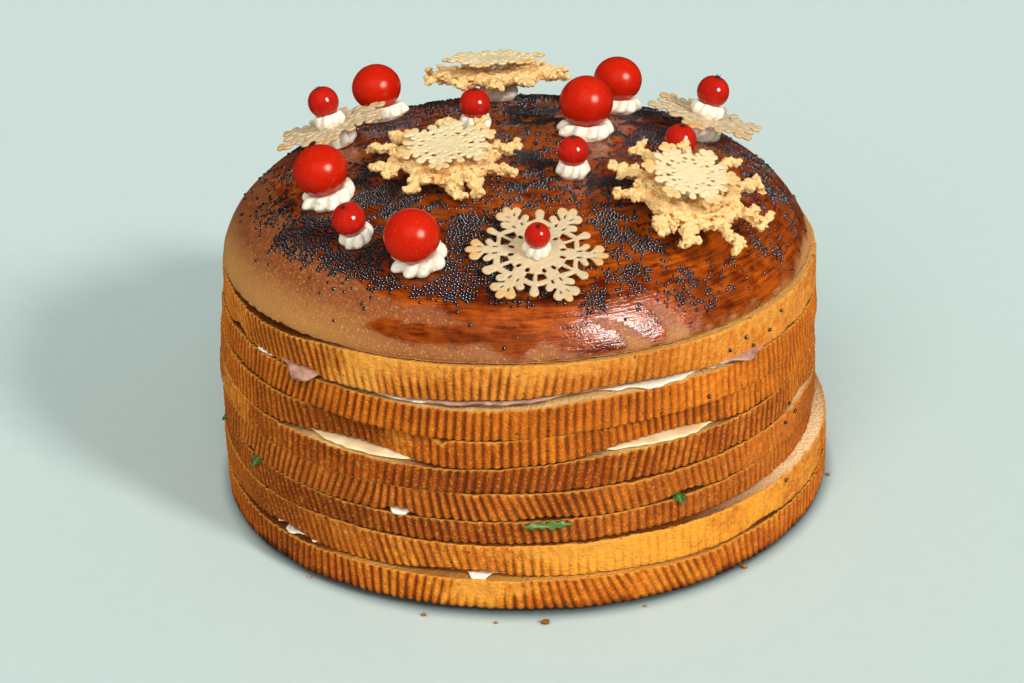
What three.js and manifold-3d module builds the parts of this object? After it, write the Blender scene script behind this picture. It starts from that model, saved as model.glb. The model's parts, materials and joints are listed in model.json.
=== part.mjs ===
// Savoury panettone: a domed cap on eight slices of bread, filled in pairs, and dressed with
// tomatoes, redcurrants, snowflake cheese wafers, piped cream stars and poppy seeds.
// Millimetres, +Z up, origin in the middle of the underside.

import * as THREE from 'three';
import { mergeVertices } from 'three/addons/utils/BufferGeometryUtils.js';
import Module from 'manifold-3d';

const wasm = await Module();
wasm.setup();

// Driving dimensions
const clearance = 0.3; // between pieces that touch
const sides = 60; // directions shared by the cap, the slices and the fillings
const loafRadius = 105; // mean radius of the crust, the measure of the rest
const edgeRound = 0.8; // how far a cut edge lies inside the crust's bulge
const ripple = 0.5; // unevenness of a crust's outline

// Domed cap: a crown of superellipse section, cut off at the first joint
const capRadius = loafRadius - 2.5;
const capWaist = 82; // height where the crown's side would stand upright
const capApex = 120;
const capShoulder = 3.5; // higher is a flatter top and a tighter shoulder
const capRings = [0.975, 0.93, 0.86, 0.76, 0.62, 0.44, 0.22]; // shares of the cap's radius

// Places round the loaf are lists of [direction in degrees, half width in degrees, size].

// Joints between breads, from the cap down. Height is on the axis, at the middle of the joint,
// and lean is its slope towards +X and +Y in degrees. At the rim it dips, and gapes where the
// lower bread falls away. Layers lie in it from the lower bread up: inset is how far a layer ends
// inside the loaf's radius, and bulges are where it is squeezed out.
const joints = [
  { height: 86.7, lean: [0.3, 0.5], dips: [], gapes: [[-146, 26, 2.4]], layers: [] },
  {
    height: 75.3,
    lean: [0.5, 0.6],
    dips: [[-102, 30, 1.6], [-70, 26, -0.8]],
    gapes: [],
    layers: [
      {
        name: 'cream_1_2',
        kind: 'cream',
        thickness: 1,
        inset: 4,
        bulges: [[-143, 9, 3], [-110, 9, 4], [-68, 9, 4]],
      },
      {
        name: 'ham_1_2',
        kind: 'ham',
        thickness: 1.3,
        inset: 3.5,
        bulges: [[-132, 9, 4], [-92, 24, 2], [-50, 12, 4]],
      },
    ],
  },
  {
    height: 63.4,
    lean: [0.3, 0.5],
    dips: [[-102, 30, 1.6], [-70, 26, -0.8]],
    gapes: [],
    layers: [],
  },
  {
    height: 54,
    lean: [0.8, 0.3],
    dips: [[-104, 30, 1.4], [-72, 26, -0.6]],
    gapes: [],
    layers: [
      {
        name: 'pale_spread_3_4',
        kind: 'spread',
        thickness: 1.1,
        inset: 3,
        bulges: [[-118, 20, 2.5], [-62, 18, 2.5]],
      },
    ],
  },
  { height: 43.8, lean: [0.5, 0.5], dips: [], gapes: [], layers: [] },
  {
    height: 33.8,
    lean: [0.5, 0],
    dips: [],
    gapes: [],
    layers: [
      {
        name: 'cream_5_6',
        kind: 'cream',
        thickness: 1.3,
        inset: 5,
        bulges: [[-112, 7, 5.5], [-54, 7, 5.5]],
      },
    ],
  },
  { height: 24.3, lean: [0.2, -0.3], dips: [[-145, 24, 1.6]], gapes: [], layers: [] },
  {
    height: 13.4,
    lean: [0, -0.6],
    dips: [[-140, 24, 1], [-60, 20, 0.8]],
    gapes: [],
    layers: [
      {
        name: 'cream_7_8',
        kind: 'cream',
        thickness: 0.9,
        inset: 2,
        bulges: [[-135, 12, 4.5], [-98, 8, 5], [-48, 8, 5]],
      },
      {
        name: 'salmon_7_8',
        kind: 'salmon',
        thickness: 1,
        inset: 1.5,
        bulges: [[-98, 14, 2]],
      },
    ],
  },
  { height: 0, lean: [0, 0], dips: [], gapes: [], layers: [] }, // what the loaf stands on
];

// Slices from the cap down: how far the crust stands proud of the loaf's radius, how far the
// slice is pushed off the axis towards +X and +Y, and where it is set back
const slices = [
  { proud: -2.2, push: [1, -0.8], setBacks: [] },
  { proud: -1.2, push: [0.8, -0.5], setBacks: [] },
  { proud: -0.4, push: [-0.4, 0], setBacks: [[-120, 20, 5], [-64, 20, 4.5]] },
  { proud: 0.2, push: [-0.6, 0], setBacks: [[-25, 16, 5]] },
  { proud: 0.4, push: [0, 0], setBacks: [] },
  { proud: 0.4, push: [-0.3, 0], setBacks: [] },
  { proud: 3.2, push: [1.6, -0.4], setBacks: [] },
  { proud: 3.2, push: [1.8, -0.6], setBacks: [] },
];

// Leaves that stick out of the joint between slices 5 and 6: direction in degrees, length from
// root to tip, width, and droop at the tip
const leafJoint = joints[5];
const leafRoot = loafRadius - 3.5; // where a leaf starts, between the two breads
const leafThickness = 0.5;
const leafWave = 0.35;
const leafWidths = [0.35, 0.75, 0.6, 1, 0.7, 0.15]; // shares of the width, root to tip
const leaves = [
  { direction: -165, length: 8, width: 7, droop: 1.5 },
  { direction: -147, length: 8, width: 8, droop: 4 },
  { direction: -86, length: 9, width: 13, droop: 2 },
  { direction: -62, length: 7, width: 6, droop: 2 },
];

// Round toppings: foot on the cap and radius
const tomatoes = [
  { at: [-47, 41], radius: 8.9 },
  { at: [-60, -35], radius: 8.9 },
  { at: [-30, -76], radius: 8.8 },
  { at: [25, 8], radius: 9.4 },
  { at: [37, 39], radius: 8.7 },
];
const tomatoHeight = 0.95; // share of its width
const currants = [
  { at: [-13, 18], radius: 5.6 },
  { at: [-50, -61], radius: 5.5 },
  { at: [19, -30], radius: 5.2 },
  { at: [54, -17], radius: 5.5 },
];
const tuft = { tip: 0.5, root: 0.8, length: 1.6 }; // dry flower on a currant

// Piped cream stars
const starLobes = 8;
const starGroove = 0.86; // a groove's radius as a share of a lobe's
const starFoot = 0.92; // share of the radius where a star meets what it stands on
const starDish = 0.56; // share of the radius that is dished under a fruit
const starSpread = 1.3; // how far a star reaches past the fruit that it holds
const tomatoSeat = 2.2; // from the crust to the bottom of a tomato
const currantSeat = 2.9;
const underRadius = 7; // star under a wafer
const betweenRadius = 5; // star between two wafers

// Stacks of cheese wafers: foot on the cap, extra lean as [degrees, direction], height of the
// star under the wafer, a puffed wafer's reach, height of the star on that and how far it is slid
// towards +X, the thin wafer's reach and turn, and the radius of a currant that crowns it
const waferThickness = 1;
const puffThickness = 4.4;
const puffArms = 8;
const puffShares = [0.54, 0.8, 1.04, 0.78]; // reach at the notch, flank, tip and flank of an arm
const puffUneven = 0.12; // most that an arm falls short, as a share of its reach
const puffRings = [
  { share: 0.9, level: 0, rough: 0.5 },
  { share: 1, level: 0.5, rough: 0.5 },
  { share: 0.86, level: 0.82, rough: 0.7 },
];
const waferStacks = [
  { at: [6, -78], lean: [0, 0], reach: 22, turn: 4, currant: 4.1 },
  { at: [-61, 14], lean: [5, 170], under: 5.6, reach: 21.5, turn: 30, currant: 5.5 },
  { at: [64.5, 14.5], lean: [4, 0], under: 6.4, reach: 21.5, turn: 10, currant: 5.7 },
  { at: [-23, -27], lean: [7, -80], under: 4, puff: 26, between: 1.8, slide: 0, reach: 17, turn: 22 },
  { at: [54, -50], lean: [4, -100], under: 4, puff: 27.5, between: 5, slide: -2.5, reach: 15.5, turn: 0 },
  { at: [-5, 57], lean: [0, 0], under: 5.6, puff: 29, between: 2.8, slide: -1, reach: 19, turn: 12 },
];

// A sixth of a thin wafer's outline, a long arm and a short one, and of its windows, as
// [share of the reach, degrees from the long arm]
const flakeArm = [
  [0.7, -6], [0.87, -11], [1, 0], [0.87, 11], [0.7, 6], [0.61, 17], [0.82, 26], [0.82, 34], [0.61, 43],
];
const flakeWindows = [
  [[0.3, 15], [0.53, 8], [0.51, 24]],
  [[0.3, 45], [0.51, 36], [0.53, 52]],
];

// Poppy seeds fused to the cap
const seedCount = 84;
const seedRadius = 0.65;
const seedForm = [1.2, 0.95, 0.9]; // length, width and height for a round seed's 1
const seedLift = 0.07; // of a seed's middle above the crust
const seedSpacing = 6;
const seedField = 0.86; // share of the cap's radius that is strewn

// Colours
const finishes = {
  glazedCrust: { color: '#8a3f12', roughness: 0.3 },
  crust: { color: '#c07427', roughness: 0.8 },
  cream: { color: '#f4ecd8', roughness: 0.5 },
  spread: { color: '#e8cf9f', roughness: 0.6 },
  ham: { color: '#c59a90', roughness: 0.45 },
  salmon: { color: '#d2622c', roughness: 0.4 },
  leaf: { color: '#4d7a2c', roughness: 0.6 },
  tomato: { color: '#d5301a', roughness: 0.2 },
  currant: { color: '#b8151c', roughness: 0.15 },
  wafer: { color: '#e6d3a3', roughness: 0.7 },
  puff: { color: '#ecc988', roughness: 0.8 },
};

const panettone = new THREE.Group();

function addPiece(holder, name, geometry, finish) {
  const mesh = new THREE.Mesh(geometry, new THREE.MeshStandardMaterial(finishes[finish]));
  mesh.name = name;
  holder.add(mesh);
  return mesh;
}

function makeRandom(seed) {
  let state = seed;
  return () => {
    state = (state * 1664525 + 1013904223) % 4294967296;
    return state / 4294967296;
  };
}

const radians = THREE.MathUtils.degToRad;
const directions = Array.from({ length: sides }, (_, i) => (i * 2 * Math.PI) / sides);

// Point at a direction, radius and height round the axis
function spoke(angle, radius, height) {
  return new THREE.Vector3(radius * Math.cos(angle), radius * Math.sin(angle), height);
}

// Smooth hump of height 1 about a direction, 0 beyond its half width
function hump(angle, direction, halfWidth) {
  const turn = 2 * Math.PI;
  const apart = THREE.MathUtils.euclideanModulo(angle - radians(direction) + Math.PI, turn) - Math.PI;
  const share = Math.min(1, Math.abs(apart) / radians(halfWidth));
  return (1 + Math.cos(Math.PI * share)) / 2;
}

function sumOfHumps(angle, humps) {
  let sum = 0;
  for (const [direction, halfWidth, size] of humps) sum += size * hump(angle, direction, halfWidth);
  return sum;
}

// Gentle unevenness of an outline, different for each number
function uneven(angle, number) {
  return Math.cos(3 * angle + 1.7 * number) * 0.5 + Math.cos(5 * angle - 2.3 * number) * 0.3;
}

function faceted(points, faces) {
  const geometry = new THREE.BufferGeometry().setFromPoints(points);
  geometry.setIndex(faces);
  geometry.computeVertexNormals();
  return geometry;
}

// Closed body of rings from the lowest to the highest, each counter-clockwise seen from above,
// shut by a fan of triangles at both ends
function ringBody(rings, lowCentre, highCentre) {
  const count = rings[0].length;
  const points = [...rings.flat(), lowCentre, highCentre];
  const low = points.length - 2;
  const high = points.length - 1;
  const lastRing = (rings.length - 1) * count;
  const faces = [];
  for (let i = 0; i < count; i += 1) {
    const next = (i + 1) % count;
    faces.push(low, next, i);
    for (let ring = 0; ring < lastRing; ring += count) {
      faces.push(ring + i, ring + next, ring + count + next);
      faces.push(ring + i, ring + count + next, ring + count + i);
    }
    faces.push(high, lastRing + i, lastRing + next);
  }
  return faceted(points, faces);
}

// Solid of a closed geometry, ready to be joined to another
function solidOf(geometry) {
  const bare = geometry.clone();
  bare.deleteAttribute('normal');
  bare.deleteAttribute('uv');
  const merged = mergeVertices(bare, 1e-4);
  const mesh = new wasm.Mesh({
    numProp: 3,
    vertProperties: new Float32Array(merged.attributes.position.array),
    triVerts: new Uint32Array(merged.index.array),
  });
  return new wasm.Manifold(mesh);
}

function geometryOf(solid) {
  const mesh = solid.getMesh();
  const geometry = new THREE.BufferGeometry();
  geometry.setAttribute('position', new THREE.BufferAttribute(mesh.vertProperties, 3));
  geometry.setIndex(new THREE.BufferAttribute(mesh.triVerts, 1));
  geometry.computeVertexNormals();
  return geometry;
}

// Bread and fillings

function jointThickness(joint) {
  const filled = joint.layers.reduce((sum, layer) => sum + layer.thickness + clearance, 0);
  return joint.height > 0 ? filled + clearance : 0;
}

// Height of a joint's middle, which runs straight along each spoke, so that breads and layers of
// different radii still lie on each other
function jointHeight(joint, angle, radius) {
  const [leanX, leanY] = joint.lean.map((degrees) => Math.tan(radians(degrees)));
  const dip = sumOfHumps(angle, joint.dips) / loafRadius;
  return joint.height + radius * (leanX * Math.cos(angle) + leanY * Math.sin(angle) - dip);
}

function jointFloor(joint, angle, radius) {
  const gape = (radius / loafRadius) * sumOfHumps(angle, joint.gapes);
  return jointHeight(joint, angle, radius) - jointThickness(joint) / 2 - gape;
}

function jointRoof(joint, angle, radius) {
  return jointHeight(joint, angle, radius) + jointThickness(joint) / 2;
}

function crustRadius(slice, number, angle) {
  const pushed = slice.push[0] * Math.cos(angle) + slice.push[1] * Math.sin(angle);
  const rim = loafRadius + slice.proud + pushed + ripple * uneven(angle, number);
  return rim - sumOfHumps(angle, slice.setBacks);
}

function breadSlice(slice, number) {
  const above = joints[number - 1];
  const below = joints[number];
  const low = [];
  const middle = [];
  const high = [];
  for (const angle of directions) {
    const crust = crustRadius(slice, number, angle);
    const edge = crust - edgeRound;
    const foot = jointRoof(below, angle, edge);
    const head = jointFloor(above, angle, edge);
    low.push(spoke(angle, edge, foot));
    middle.push(spoke(angle, crust, (foot + head) / 2));
    high.push(spoke(angle, edge, head));
  }
  const lowCentre = spoke(0, 0, jointRoof(below, 0, 0));
  const highCentre = spoke(0, 0, jointFloor(above, 0, 0));
  return ringBody([low, middle, high], lowCentre, highCentre);
}

function fillingLayer(layer, joint, lift) {
  const low = [];
  const high = [];
  for (const angle of directions) {
    const rim = loafRadius - layer.inset + ripple * uneven(angle, layer.thickness);
    const radius = rim + sumOfHumps(angle, layer.bulges);
    const floor = jointFloor(joint, angle, radius) + lift;
    low.push(spoke(angle, radius, floor));
    high.push(spoke(angle, radius, floor + layer.thickness));
  }
  const floor = jointFloor(joint, 0, 0) + lift;
  return ringBody([low, high], spoke(0, 0, floor), spoke(0, 0, floor + layer.thickness));
}

function addBread() {
  slices.forEach((slice, i) => {
    addPiece(panettone, `bread_slice_${i + 1}`, breadSlice(slice, i + 1), 'crust');
  });
  for (const joint of joints) {
    let lift = clearance;
    for (const layer of joint.layers) {
      addPiece(panettone, layer.name, fillingLayer(layer, joint, lift), layer.kind);
      lift += layer.thickness + clearance;
    }
  }
}

// Thin wavy leaf, from its root at the origin along +X, with both faces split alike
function leafBlade({ length, width, droop }) {
  const steps = leafWidths.length - 1;
  const across = 2;
  const row = across + 1;
  const sheet = row * (steps + 1); // points in one face
  const points = [];
  for (const side of [-1, 1]) {
    for (let i = 0; i <= steps; i += 1) {
      const share = i / steps;
      for (let j = 0; j <= across; j += 1) {
        const y = (j / across - 0.5) * width * leafWidths[i];
        const wave = leafWave * share * Math.cos(4 * share + 2 * j);
        const z = wave - droop * share ** 2 + (side * leafThickness) / 2;
        points.push(new THREE.Vector3(length * share, y, z));
      }
    }
  }
  const faces = [];
  for (let i = 0; i < steps; i += 1) {
    for (let j = 0; j < across; j += 1) {
      const a = i * row + j;
      const b = sheet + a;
      faces.push(a, a + 1, a + row + 1, a, a + row + 1, a + row);
      faces.push(b, b + row + 1, b + 1, b, b + row, b + row + 1);
    }
  }
  const rim = [];
  for (let i = 0; i <= steps; i += 1) rim.push(i * row);
  for (let j = 1; j < across; j += 1) rim.push(steps * row + j);
  for (let i = steps; i >= 0; i -= 1) rim.push(i * row + across);
  for (let j = across - 1; j > 0; j -= 1) rim.push(j);
  rim.forEach((a, k) => {
    const b = rim[(k + 1) % rim.length];
    faces.push(a, b, sheet + b, a, sheet + b, sheet + a);
  });
  return faceted(points, faces);
}

function addLeaves() {
  leaves.forEach((leaf, i) => {
    const angle = radians(leaf.direction);
    const blade = addPiece(panettone, `green_leaf_${i + 1}`, leafBlade(leaf), 'leaf');
    blade.position.copy(spoke(angle, leafRoot, jointHeight(leafJoint, angle, leafRoot)));
    blade.rotation.z = angle;
  });
}

// Cap and what stands on it

function capHeight(x, y) {
  const share = Math.min(1, Math.hypot(x, y) / capRadius);
  return capWaist + (capApex - capWaist) * Math.sqrt(1 - share ** capShoulder);
}

function capNormal(x, y) {
  const step = 0.05;
  const slopeX = (capHeight(x + step, y) - capHeight(x - step, y)) / (2 * step);
  const slopeY = (capHeight(x, y + step) - capHeight(x, y - step)) / (2 * step);
  return new THREE.Vector3(-slopeX, -slopeY, 1).normalize();
}

// Group on the cap whose +Z leaves the crust at a right angle, leaned further where asked
function standOnCap([x, y], [degrees, direction] = [0, 0]) {
  const holder = new THREE.Group();
  const upright = new THREE.Quaternion().setFromUnitVectors(new THREE.Vector3(0, 0, 1), capNormal(x, y));
  const leanAxis = spoke(radians(direction + 90), 1, 0);
  const leaned = new THREE.Quaternion().setFromAxisAngle(leanAxis, radians(degrees));
  holder.position.set(x, y, capHeight(x, y));
  holder.quaternion.copy(leaned).multiply(upright);
  panettone.add(holder);
  return holder;
}

// Moves points down or up their holder until they lie level with the crust under it
function layOnCrust(points, holder) {
  const { x, y } = holder.position;
  const crust = capNormal(x, y).applyQuaternion(holder.quaternion.clone().invert());
  for (const point of points) point.z -= (crust.x * point.x + crust.y * point.y) / crust.z;
  return points;
}

function capBody() {
  const cut = joints[0];
  const cutShare = (1 - ((cut.height - capWaist) / (capApex - capWaist)) ** 2) ** (1 / capShoulder);
  const rim = [];
  for (const angle of directions) {
    const radius = capRadius * cutShare + ripple * uneven(angle, 0);
    rim.push(spoke(angle, radius, jointRoof(cut, angle, radius)));
  }
  const rings = [rim];
  for (const share of capRings) {
    const height = capHeight(share * capRadius, 0);
    rings.push(directions.map((angle) => spoke(angle, share * capRadius, height)));
  }
  return ringBody(rings, spoke(0, 0, jointRoof(cut, 0, 0)), spoke(0, 0, capApex));
}

// Ground that the toppings cover, as [x, y, radius]
function coveredGround() {
  const fruit = [...tomatoes, ...currants].map(({ at, radius }) => [...at, radius + starSpread]);
  const wafers = waferStacks.map(({ at, puff, reach }) => [...at, puff ?? reach]);
  return [...fruit, ...wafers];
}

// Places of the fused seeds: drawn at random, kept apart and clear of the toppings, and thinner
// towards the right of the front, where the glaze lies bare
function seedPlaces() {
  const random = makeRandom(7);
  const covered = coveredGround();
  const places = [];
  while (places.length < seedCount) {
    const angle = random() * 2 * Math.PI;
    const spot = spoke(angle, seedField * capRadius * Math.sqrt(random()), 0);
    const bareness = (spot.x - spot.y) / (Math.SQRT2 * capRadius);
    const thinned = random() < bareness;
    const away = ([x, y, reach]) => Math.hypot(spot.x - x, spot.y - y) - reach;
    const hidden = covered.some((ground) => away(ground) < 2 * seedRadius);
    const crowded = places.some((other) => other.distanceTo(spot) < seedSpacing);
    if (!thinned && !hidden && !crowded) places.push(spot);
  }
  return places;
}

function seededCap() {
  let solid = solidOf(capBody());
  const random = makeRandom(11);
  for (const { x, y } of seedPlaces()) {
    const seed = new THREE.OctahedronGeometry(seedRadius);
    seed.scale(...seedForm);
    seed.rotateZ(random() * Math.PI);
    seed.translate(x, y, capHeight(x, y) + seedLift);
    solid = solid.add(solidOf(seed));
  }
  return geometryOf(solid);
}

let starCount = 0;

// Piped star of cream in a holder. Its top is flat at the given height, or dished to take a ball
// whose centre stands at the given height.
function addStar(holder, { foot, radius, top, ball, onCrust }) {
  const lobed = (share, z) =>
    Array.from({ length: 2 * starLobes }, (_, i) => {
      const lobe = i % 2 === 0 ? 1 : starGroove;
      return spoke((i * Math.PI) / starLobes, radius * share * lobe, z);
    });
  const room = ball ? ball.radius + 2 * clearance : 0; // more than touching, as the dish is faceted
  const rimHeight = ball ? ball.centre - Math.sqrt(room ** 2 - (radius * starDish) ** 2) : top;
  const dishHeight = ball ? ball.centre - room : top;
  const skirt = lobed(starFoot, foot);
  if (onCrust) layOnCrust(skirt, holder);
  const rings = [skirt, lobed(1, (foot + rimHeight) / 2), lobed(starDish, rimHeight)];
  starCount += 1;
  const geometry = ringBody(rings, spoke(0, 0, foot), spoke(0, 0, dishHeight));
  return addPiece(holder, `cream_star_${starCount}`, geometry, 'cream');
}

function addTomato(name, holder, radius) {
  const centre = tomatoSeat + radius;
  const ring = radius + starSpread;
  addStar(holder, { foot: clearance, radius: ring, ball: { radius, centre }, onCrust: true });
  const ball = new THREE.IcosahedronGeometry(radius, 2);
  ball.scale(1, 1, tomatoHeight);
  addPiece(holder, name, ball, 'tomato').position.z = centre;
}

// Redcurrant with the dry tuft of its flower on top, on a star of its own
function addCurrant(name, holder, foot, radius, onCrust) {
  const centre = foot + currantSeat - clearance + radius;
  addStar(holder, { foot, radius: radius + starSpread, ball: { radius, centre }, onCrust });
  const flower = new THREE.CylinderGeometry(tuft.tip, tuft.root, tuft.length, 5);
  flower.rotateX(Math.PI / 2);
  flower.translate(0, 0, radius);
  const berry = solidOf(new THREE.IcosahedronGeometry(radius, 1)).add(solidOf(flower));
  addPiece(holder, name, geometryOf(berry), 'currant').position.z = centre;
}

// Thin snowflake: six fan-tipped arms, six short ones between them, and a window on both sides
// of each short arm's stem
function snowflake(reach) {
  const point = (share, degrees) => {
    const { x, y } = spoke(radians(degrees), share * reach, 0);
    return new THREE.Vector2(x, y);
  };
  const outline = [];
  const windows = [];
  for (let arm = 0; arm < 360; arm += 60) {
    const drawn = (corners) => corners.map(([share, degrees]) => point(share, arm + degrees));
    outline.push(...drawn(flakeArm));
    windows.push(...flakeWindows.map(drawn));
  }
  const shape = new THREE.Shape(outline);
  shape.holes = windows.map((corners) => new THREE.Path(corners));
  return new THREE.ExtrudeGeometry(shape, { depth: waferThickness, bevelEnabled: false });
}

// Thick wafer, puffed up in baking: ragged arms of unequal length, from its underside up
function puffedFlake(reach, seed) {
  const random = makeRandom(seed);
  const count = puffArms * puffShares.length;
  const radii = [];
  for (let i = 0; i < count; i += 1) {
    radii.push(reach * puffShares[i % puffShares.length] * (1 - puffUneven * random()));
  }
  const rings = puffRings.map(({ share, level, rough }) =>
    radii.map((radius, i) => {
      const height = level * puffThickness + rough * random();
      return spoke((i * 2 * Math.PI) / count, radius * share, height);
    }),
  );
  return ringBody(rings, spoke(0, 0, 0), spoke(0, 0, puffThickness));
}

function addFruit() {
  tomatoes.forEach(({ at, radius }, i) => addTomato(`tomato_${i + 1}`, standOnCap(at), radius));
  currants.forEach(({ at, radius }, i) => {
    addCurrant(`redcurrant_${i + 1}`, standOnCap(at), clearance, radius, true);
  });
}

// Stacks of cream, puffed wafer, cream, thin wafer and currant, each as far as it goes
function addWafers() {
  let puffs = 0;
  let berries = currants.length;
  waferStacks.forEach((stack, i) => {
    const holder = standOnCap(stack.at, stack.lean);
    const slide = stack.slide ?? 0;
    let top = clearance;
    if (stack.under) {
      addStar(holder, { foot: top, radius: underRadius, top: top + stack.under, onCrust: true });
      top += stack.under + clearance;
    }
    if (stack.puff) {
      puffs += 1;
      addPiece(holder, `puffed_wafer_${puffs}`, puffedFlake(stack.puff, puffs), 'puff').position.z = top;
      top += puffThickness + clearance;
      const star = addStar(holder, { foot: top, radius: betweenRadius, top: top + stack.between });
      star.position.x = slide;
      top += stack.between + clearance;
    }
    const wafer = addPiece(holder, `thin_wafer_${i + 1}`, snowflake(stack.reach), 'wafer');
    wafer.position.set(slide, 0, top);
    wafer.rotation.z = radians(stack.turn);
    top += waferThickness + clearance;
    if (stack.currant) {
      berries += 1;
      addCurrant(`redcurrant_${berries}`, holder, top, stack.currant, false);
    }
  });
}

addPiece(panettone, 'bread_cap', seededCap(), 'glazedCrust');
addBread();
addLeaves();
addFruit();
addWafers();

export default panettone;
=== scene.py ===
import json
import math
from functools import partial

import bmesh
import bpy
import numpy as np
from mathutils import Matrix, Vector

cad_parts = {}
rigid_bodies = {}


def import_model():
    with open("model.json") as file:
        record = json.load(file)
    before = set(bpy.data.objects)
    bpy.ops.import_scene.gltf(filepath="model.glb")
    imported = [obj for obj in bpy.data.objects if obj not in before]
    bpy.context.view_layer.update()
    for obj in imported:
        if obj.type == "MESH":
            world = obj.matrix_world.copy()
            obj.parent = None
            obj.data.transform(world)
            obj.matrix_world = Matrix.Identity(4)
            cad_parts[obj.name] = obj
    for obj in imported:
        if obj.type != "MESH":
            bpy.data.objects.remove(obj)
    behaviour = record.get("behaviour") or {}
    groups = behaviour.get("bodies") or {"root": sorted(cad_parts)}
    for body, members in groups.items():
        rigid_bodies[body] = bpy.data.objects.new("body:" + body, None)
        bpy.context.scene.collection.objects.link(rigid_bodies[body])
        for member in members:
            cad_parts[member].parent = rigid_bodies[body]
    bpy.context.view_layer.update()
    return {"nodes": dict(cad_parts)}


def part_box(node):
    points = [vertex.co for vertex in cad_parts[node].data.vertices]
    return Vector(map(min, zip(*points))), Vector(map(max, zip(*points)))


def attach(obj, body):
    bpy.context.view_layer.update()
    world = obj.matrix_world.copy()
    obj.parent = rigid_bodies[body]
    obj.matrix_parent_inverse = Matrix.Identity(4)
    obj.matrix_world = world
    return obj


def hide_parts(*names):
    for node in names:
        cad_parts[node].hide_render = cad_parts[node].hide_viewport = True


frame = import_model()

mm = 0.001
scene = bpy.context.scene


# Small tools

def srgb(code):  # sRGB hex to linear
    parts = [int(code[i:i + 2], 16) / 255 for i in (1, 3, 5)]
    return [p / 12.92 if p <= 0.04045 else ((p + 0.055) / 1.055) ** 2.4 for p in parts] + [1]


# inputs are a list for the live sockets in their order, or go by name; a node stands for its first live output
def addNode(tree, kind, inputs=(), **settings):
    node = tree.nodes.new(kind if "Node" in kind else "ShaderNode" + kind)
    for name, value in settings.items():
        setattr(node, name, value)
    live = [socket for socket in node.inputs if socket.enabled]
    named = isinstance(inputs, dict)
    pairs = [(node.inputs[key], inputs[key]) for key in inputs] if named else zip(live, inputs)
    for socket, value in pairs:
        if isinstance(value, bpy.types.Node):
            value = next(output for output in value.outputs if output.enabled)
        if isinstance(value, bpy.types.NodeSocket):
            tree.links.new(value, socket)
        else:
            socket.default_value = srgb(value) if str(value).startswith("#") else value
    return node


def startMaterial(name):  # the material, what adds its nodes, and where a point lies
    material = bpy.data.materials.new(name)
    material.use_nodes = True
    material.node_tree.nodes.clear()
    add = partial(addNode, material.node_tree)
    return material, add, add("TexCoord").outputs["Object"]


def endMaterial(material, add, inputs):
    add("OutputMaterial", {"Surface": add("BsdfPrincipled", inputs)})
    return material


def addThing(name, data):
    thing = bpy.data.objects.new(name, data)
    scene.collection.objects.link(thing)
    return thing


def makePiece(name, points, faces, materials, smooth=True):
    mesh = bpy.data.meshes.new(name)
    mesh.from_pydata(np.asarray(points, float).tolist(), [], faces)
    mesh.validate()
    for material in materials:
        mesh.materials.append(material)
    mesh.polygons.foreach_set("use_smooth", [smooth] * len(mesh.polygons))
    mesh.update()
    return addThing(name, mesh)


def paint(piece, **layers):  # one float for each point, read by the materials and trees
    for name, values in layers.items():
        layer = piece.data.attributes.new(name, "FLOAT", "POINT")
        layer.data.foreach_set("value", np.asarray(values, np.float32).ravel())


def settle(piece, slot, *nodes):  # on its body, in place of its CAD nodes
    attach(piece, "root")
    if nodes:
        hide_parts(*nodes)


# a Geometry Nodes modifier, its inputs set by identifier, then the plain mesh that it makes
def runTree(piece, tree, inputs):
    modifier = piece.modifiers.new(tree.name, "NODES")
    modifier.node_group = tree
    sockets = {item.name: item.identifier for item in tree.interface.items_tree if item.in_out == "INPUT"}
    for name, value in inputs.items():
        modifier[sockets[name]] = value
    piece.update_tag()
    depsgraph = bpy.context.evaluated_depsgraph_get()
    mesh = bpy.data.meshes.new_from_object(piece.evaluated_get(depsgraph))
    old = piece.data
    piece.modifiers.clear()
    piece.data = mesh
    bpy.data.meshes.remove(old)
    mesh.name = piece.name


def startTree(name, inputs):
    tree = bpy.data.node_groups.new(name, "GeometryNodeTree")
    sockets = [("Geometry", "INPUT", "Geometry"), *((label, "INPUT", kind) for label, kind in inputs.items()),
               ("Geometry", "OUTPUT", "Geometry")]
    for label, way, kind in sockets:
        tree.interface.new_socket(label, in_out=way, socket_type="NodeSocket" + kind)
    add = partial(addNode, tree)
    return tree, add, add("NodeGroupInput").outputs


def endTree(add, geometry, material):
    real = add("GeometryNodeRealizeInstances", {"Geometry": geometry})
    painted = add("GeometryNodeSetMaterial", {"Geometry": real, "Material": material})
    add("NodeGroupOutput", {"Geometry": painted})


def mixBits(x, y, z, seed):  # a fixed hash of whole numbers, from -1 to 1
    h = (x * 73856093) ^ (y * 19349663) ^ (z * 83492791) ^ (seed * 2654435761)
    h = ((h ^ (h >> 13)) * 1274126177) & 0xffffffff
    h = ((h ^ (h >> 15)) * 2246822519) & 0xffffffff
    return (h ^ (h >> 16)) / 2147483648.0 - 1


def rough(points, size, seed):  # smooth noise from -1 to 1 with lumps of this size
    p = np.asarray(points, float) / size
    cell = np.floor(p).astype(np.int64)
    f = p - cell
    f = f * f * (3 - 2 * f)
    total = 0
    for corner in range(8):
        step = [(corner >> k) & 1 for k in range(3)]
        weight = 1
        for k in range(3):
            weight = weight * (f[..., k] if step[k] else 1 - f[..., k])
        total = total + weight * mixBits(*(cell[..., k] + step[k] for k in range(3)), seed)
    return total


def easeStep(low, high, x):  # 0 at low, 1 at high, smooth between
    t = np.clip((x - low) / (high - low), 0, 1)
    return t * t * (3 - 2 * t)


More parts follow.
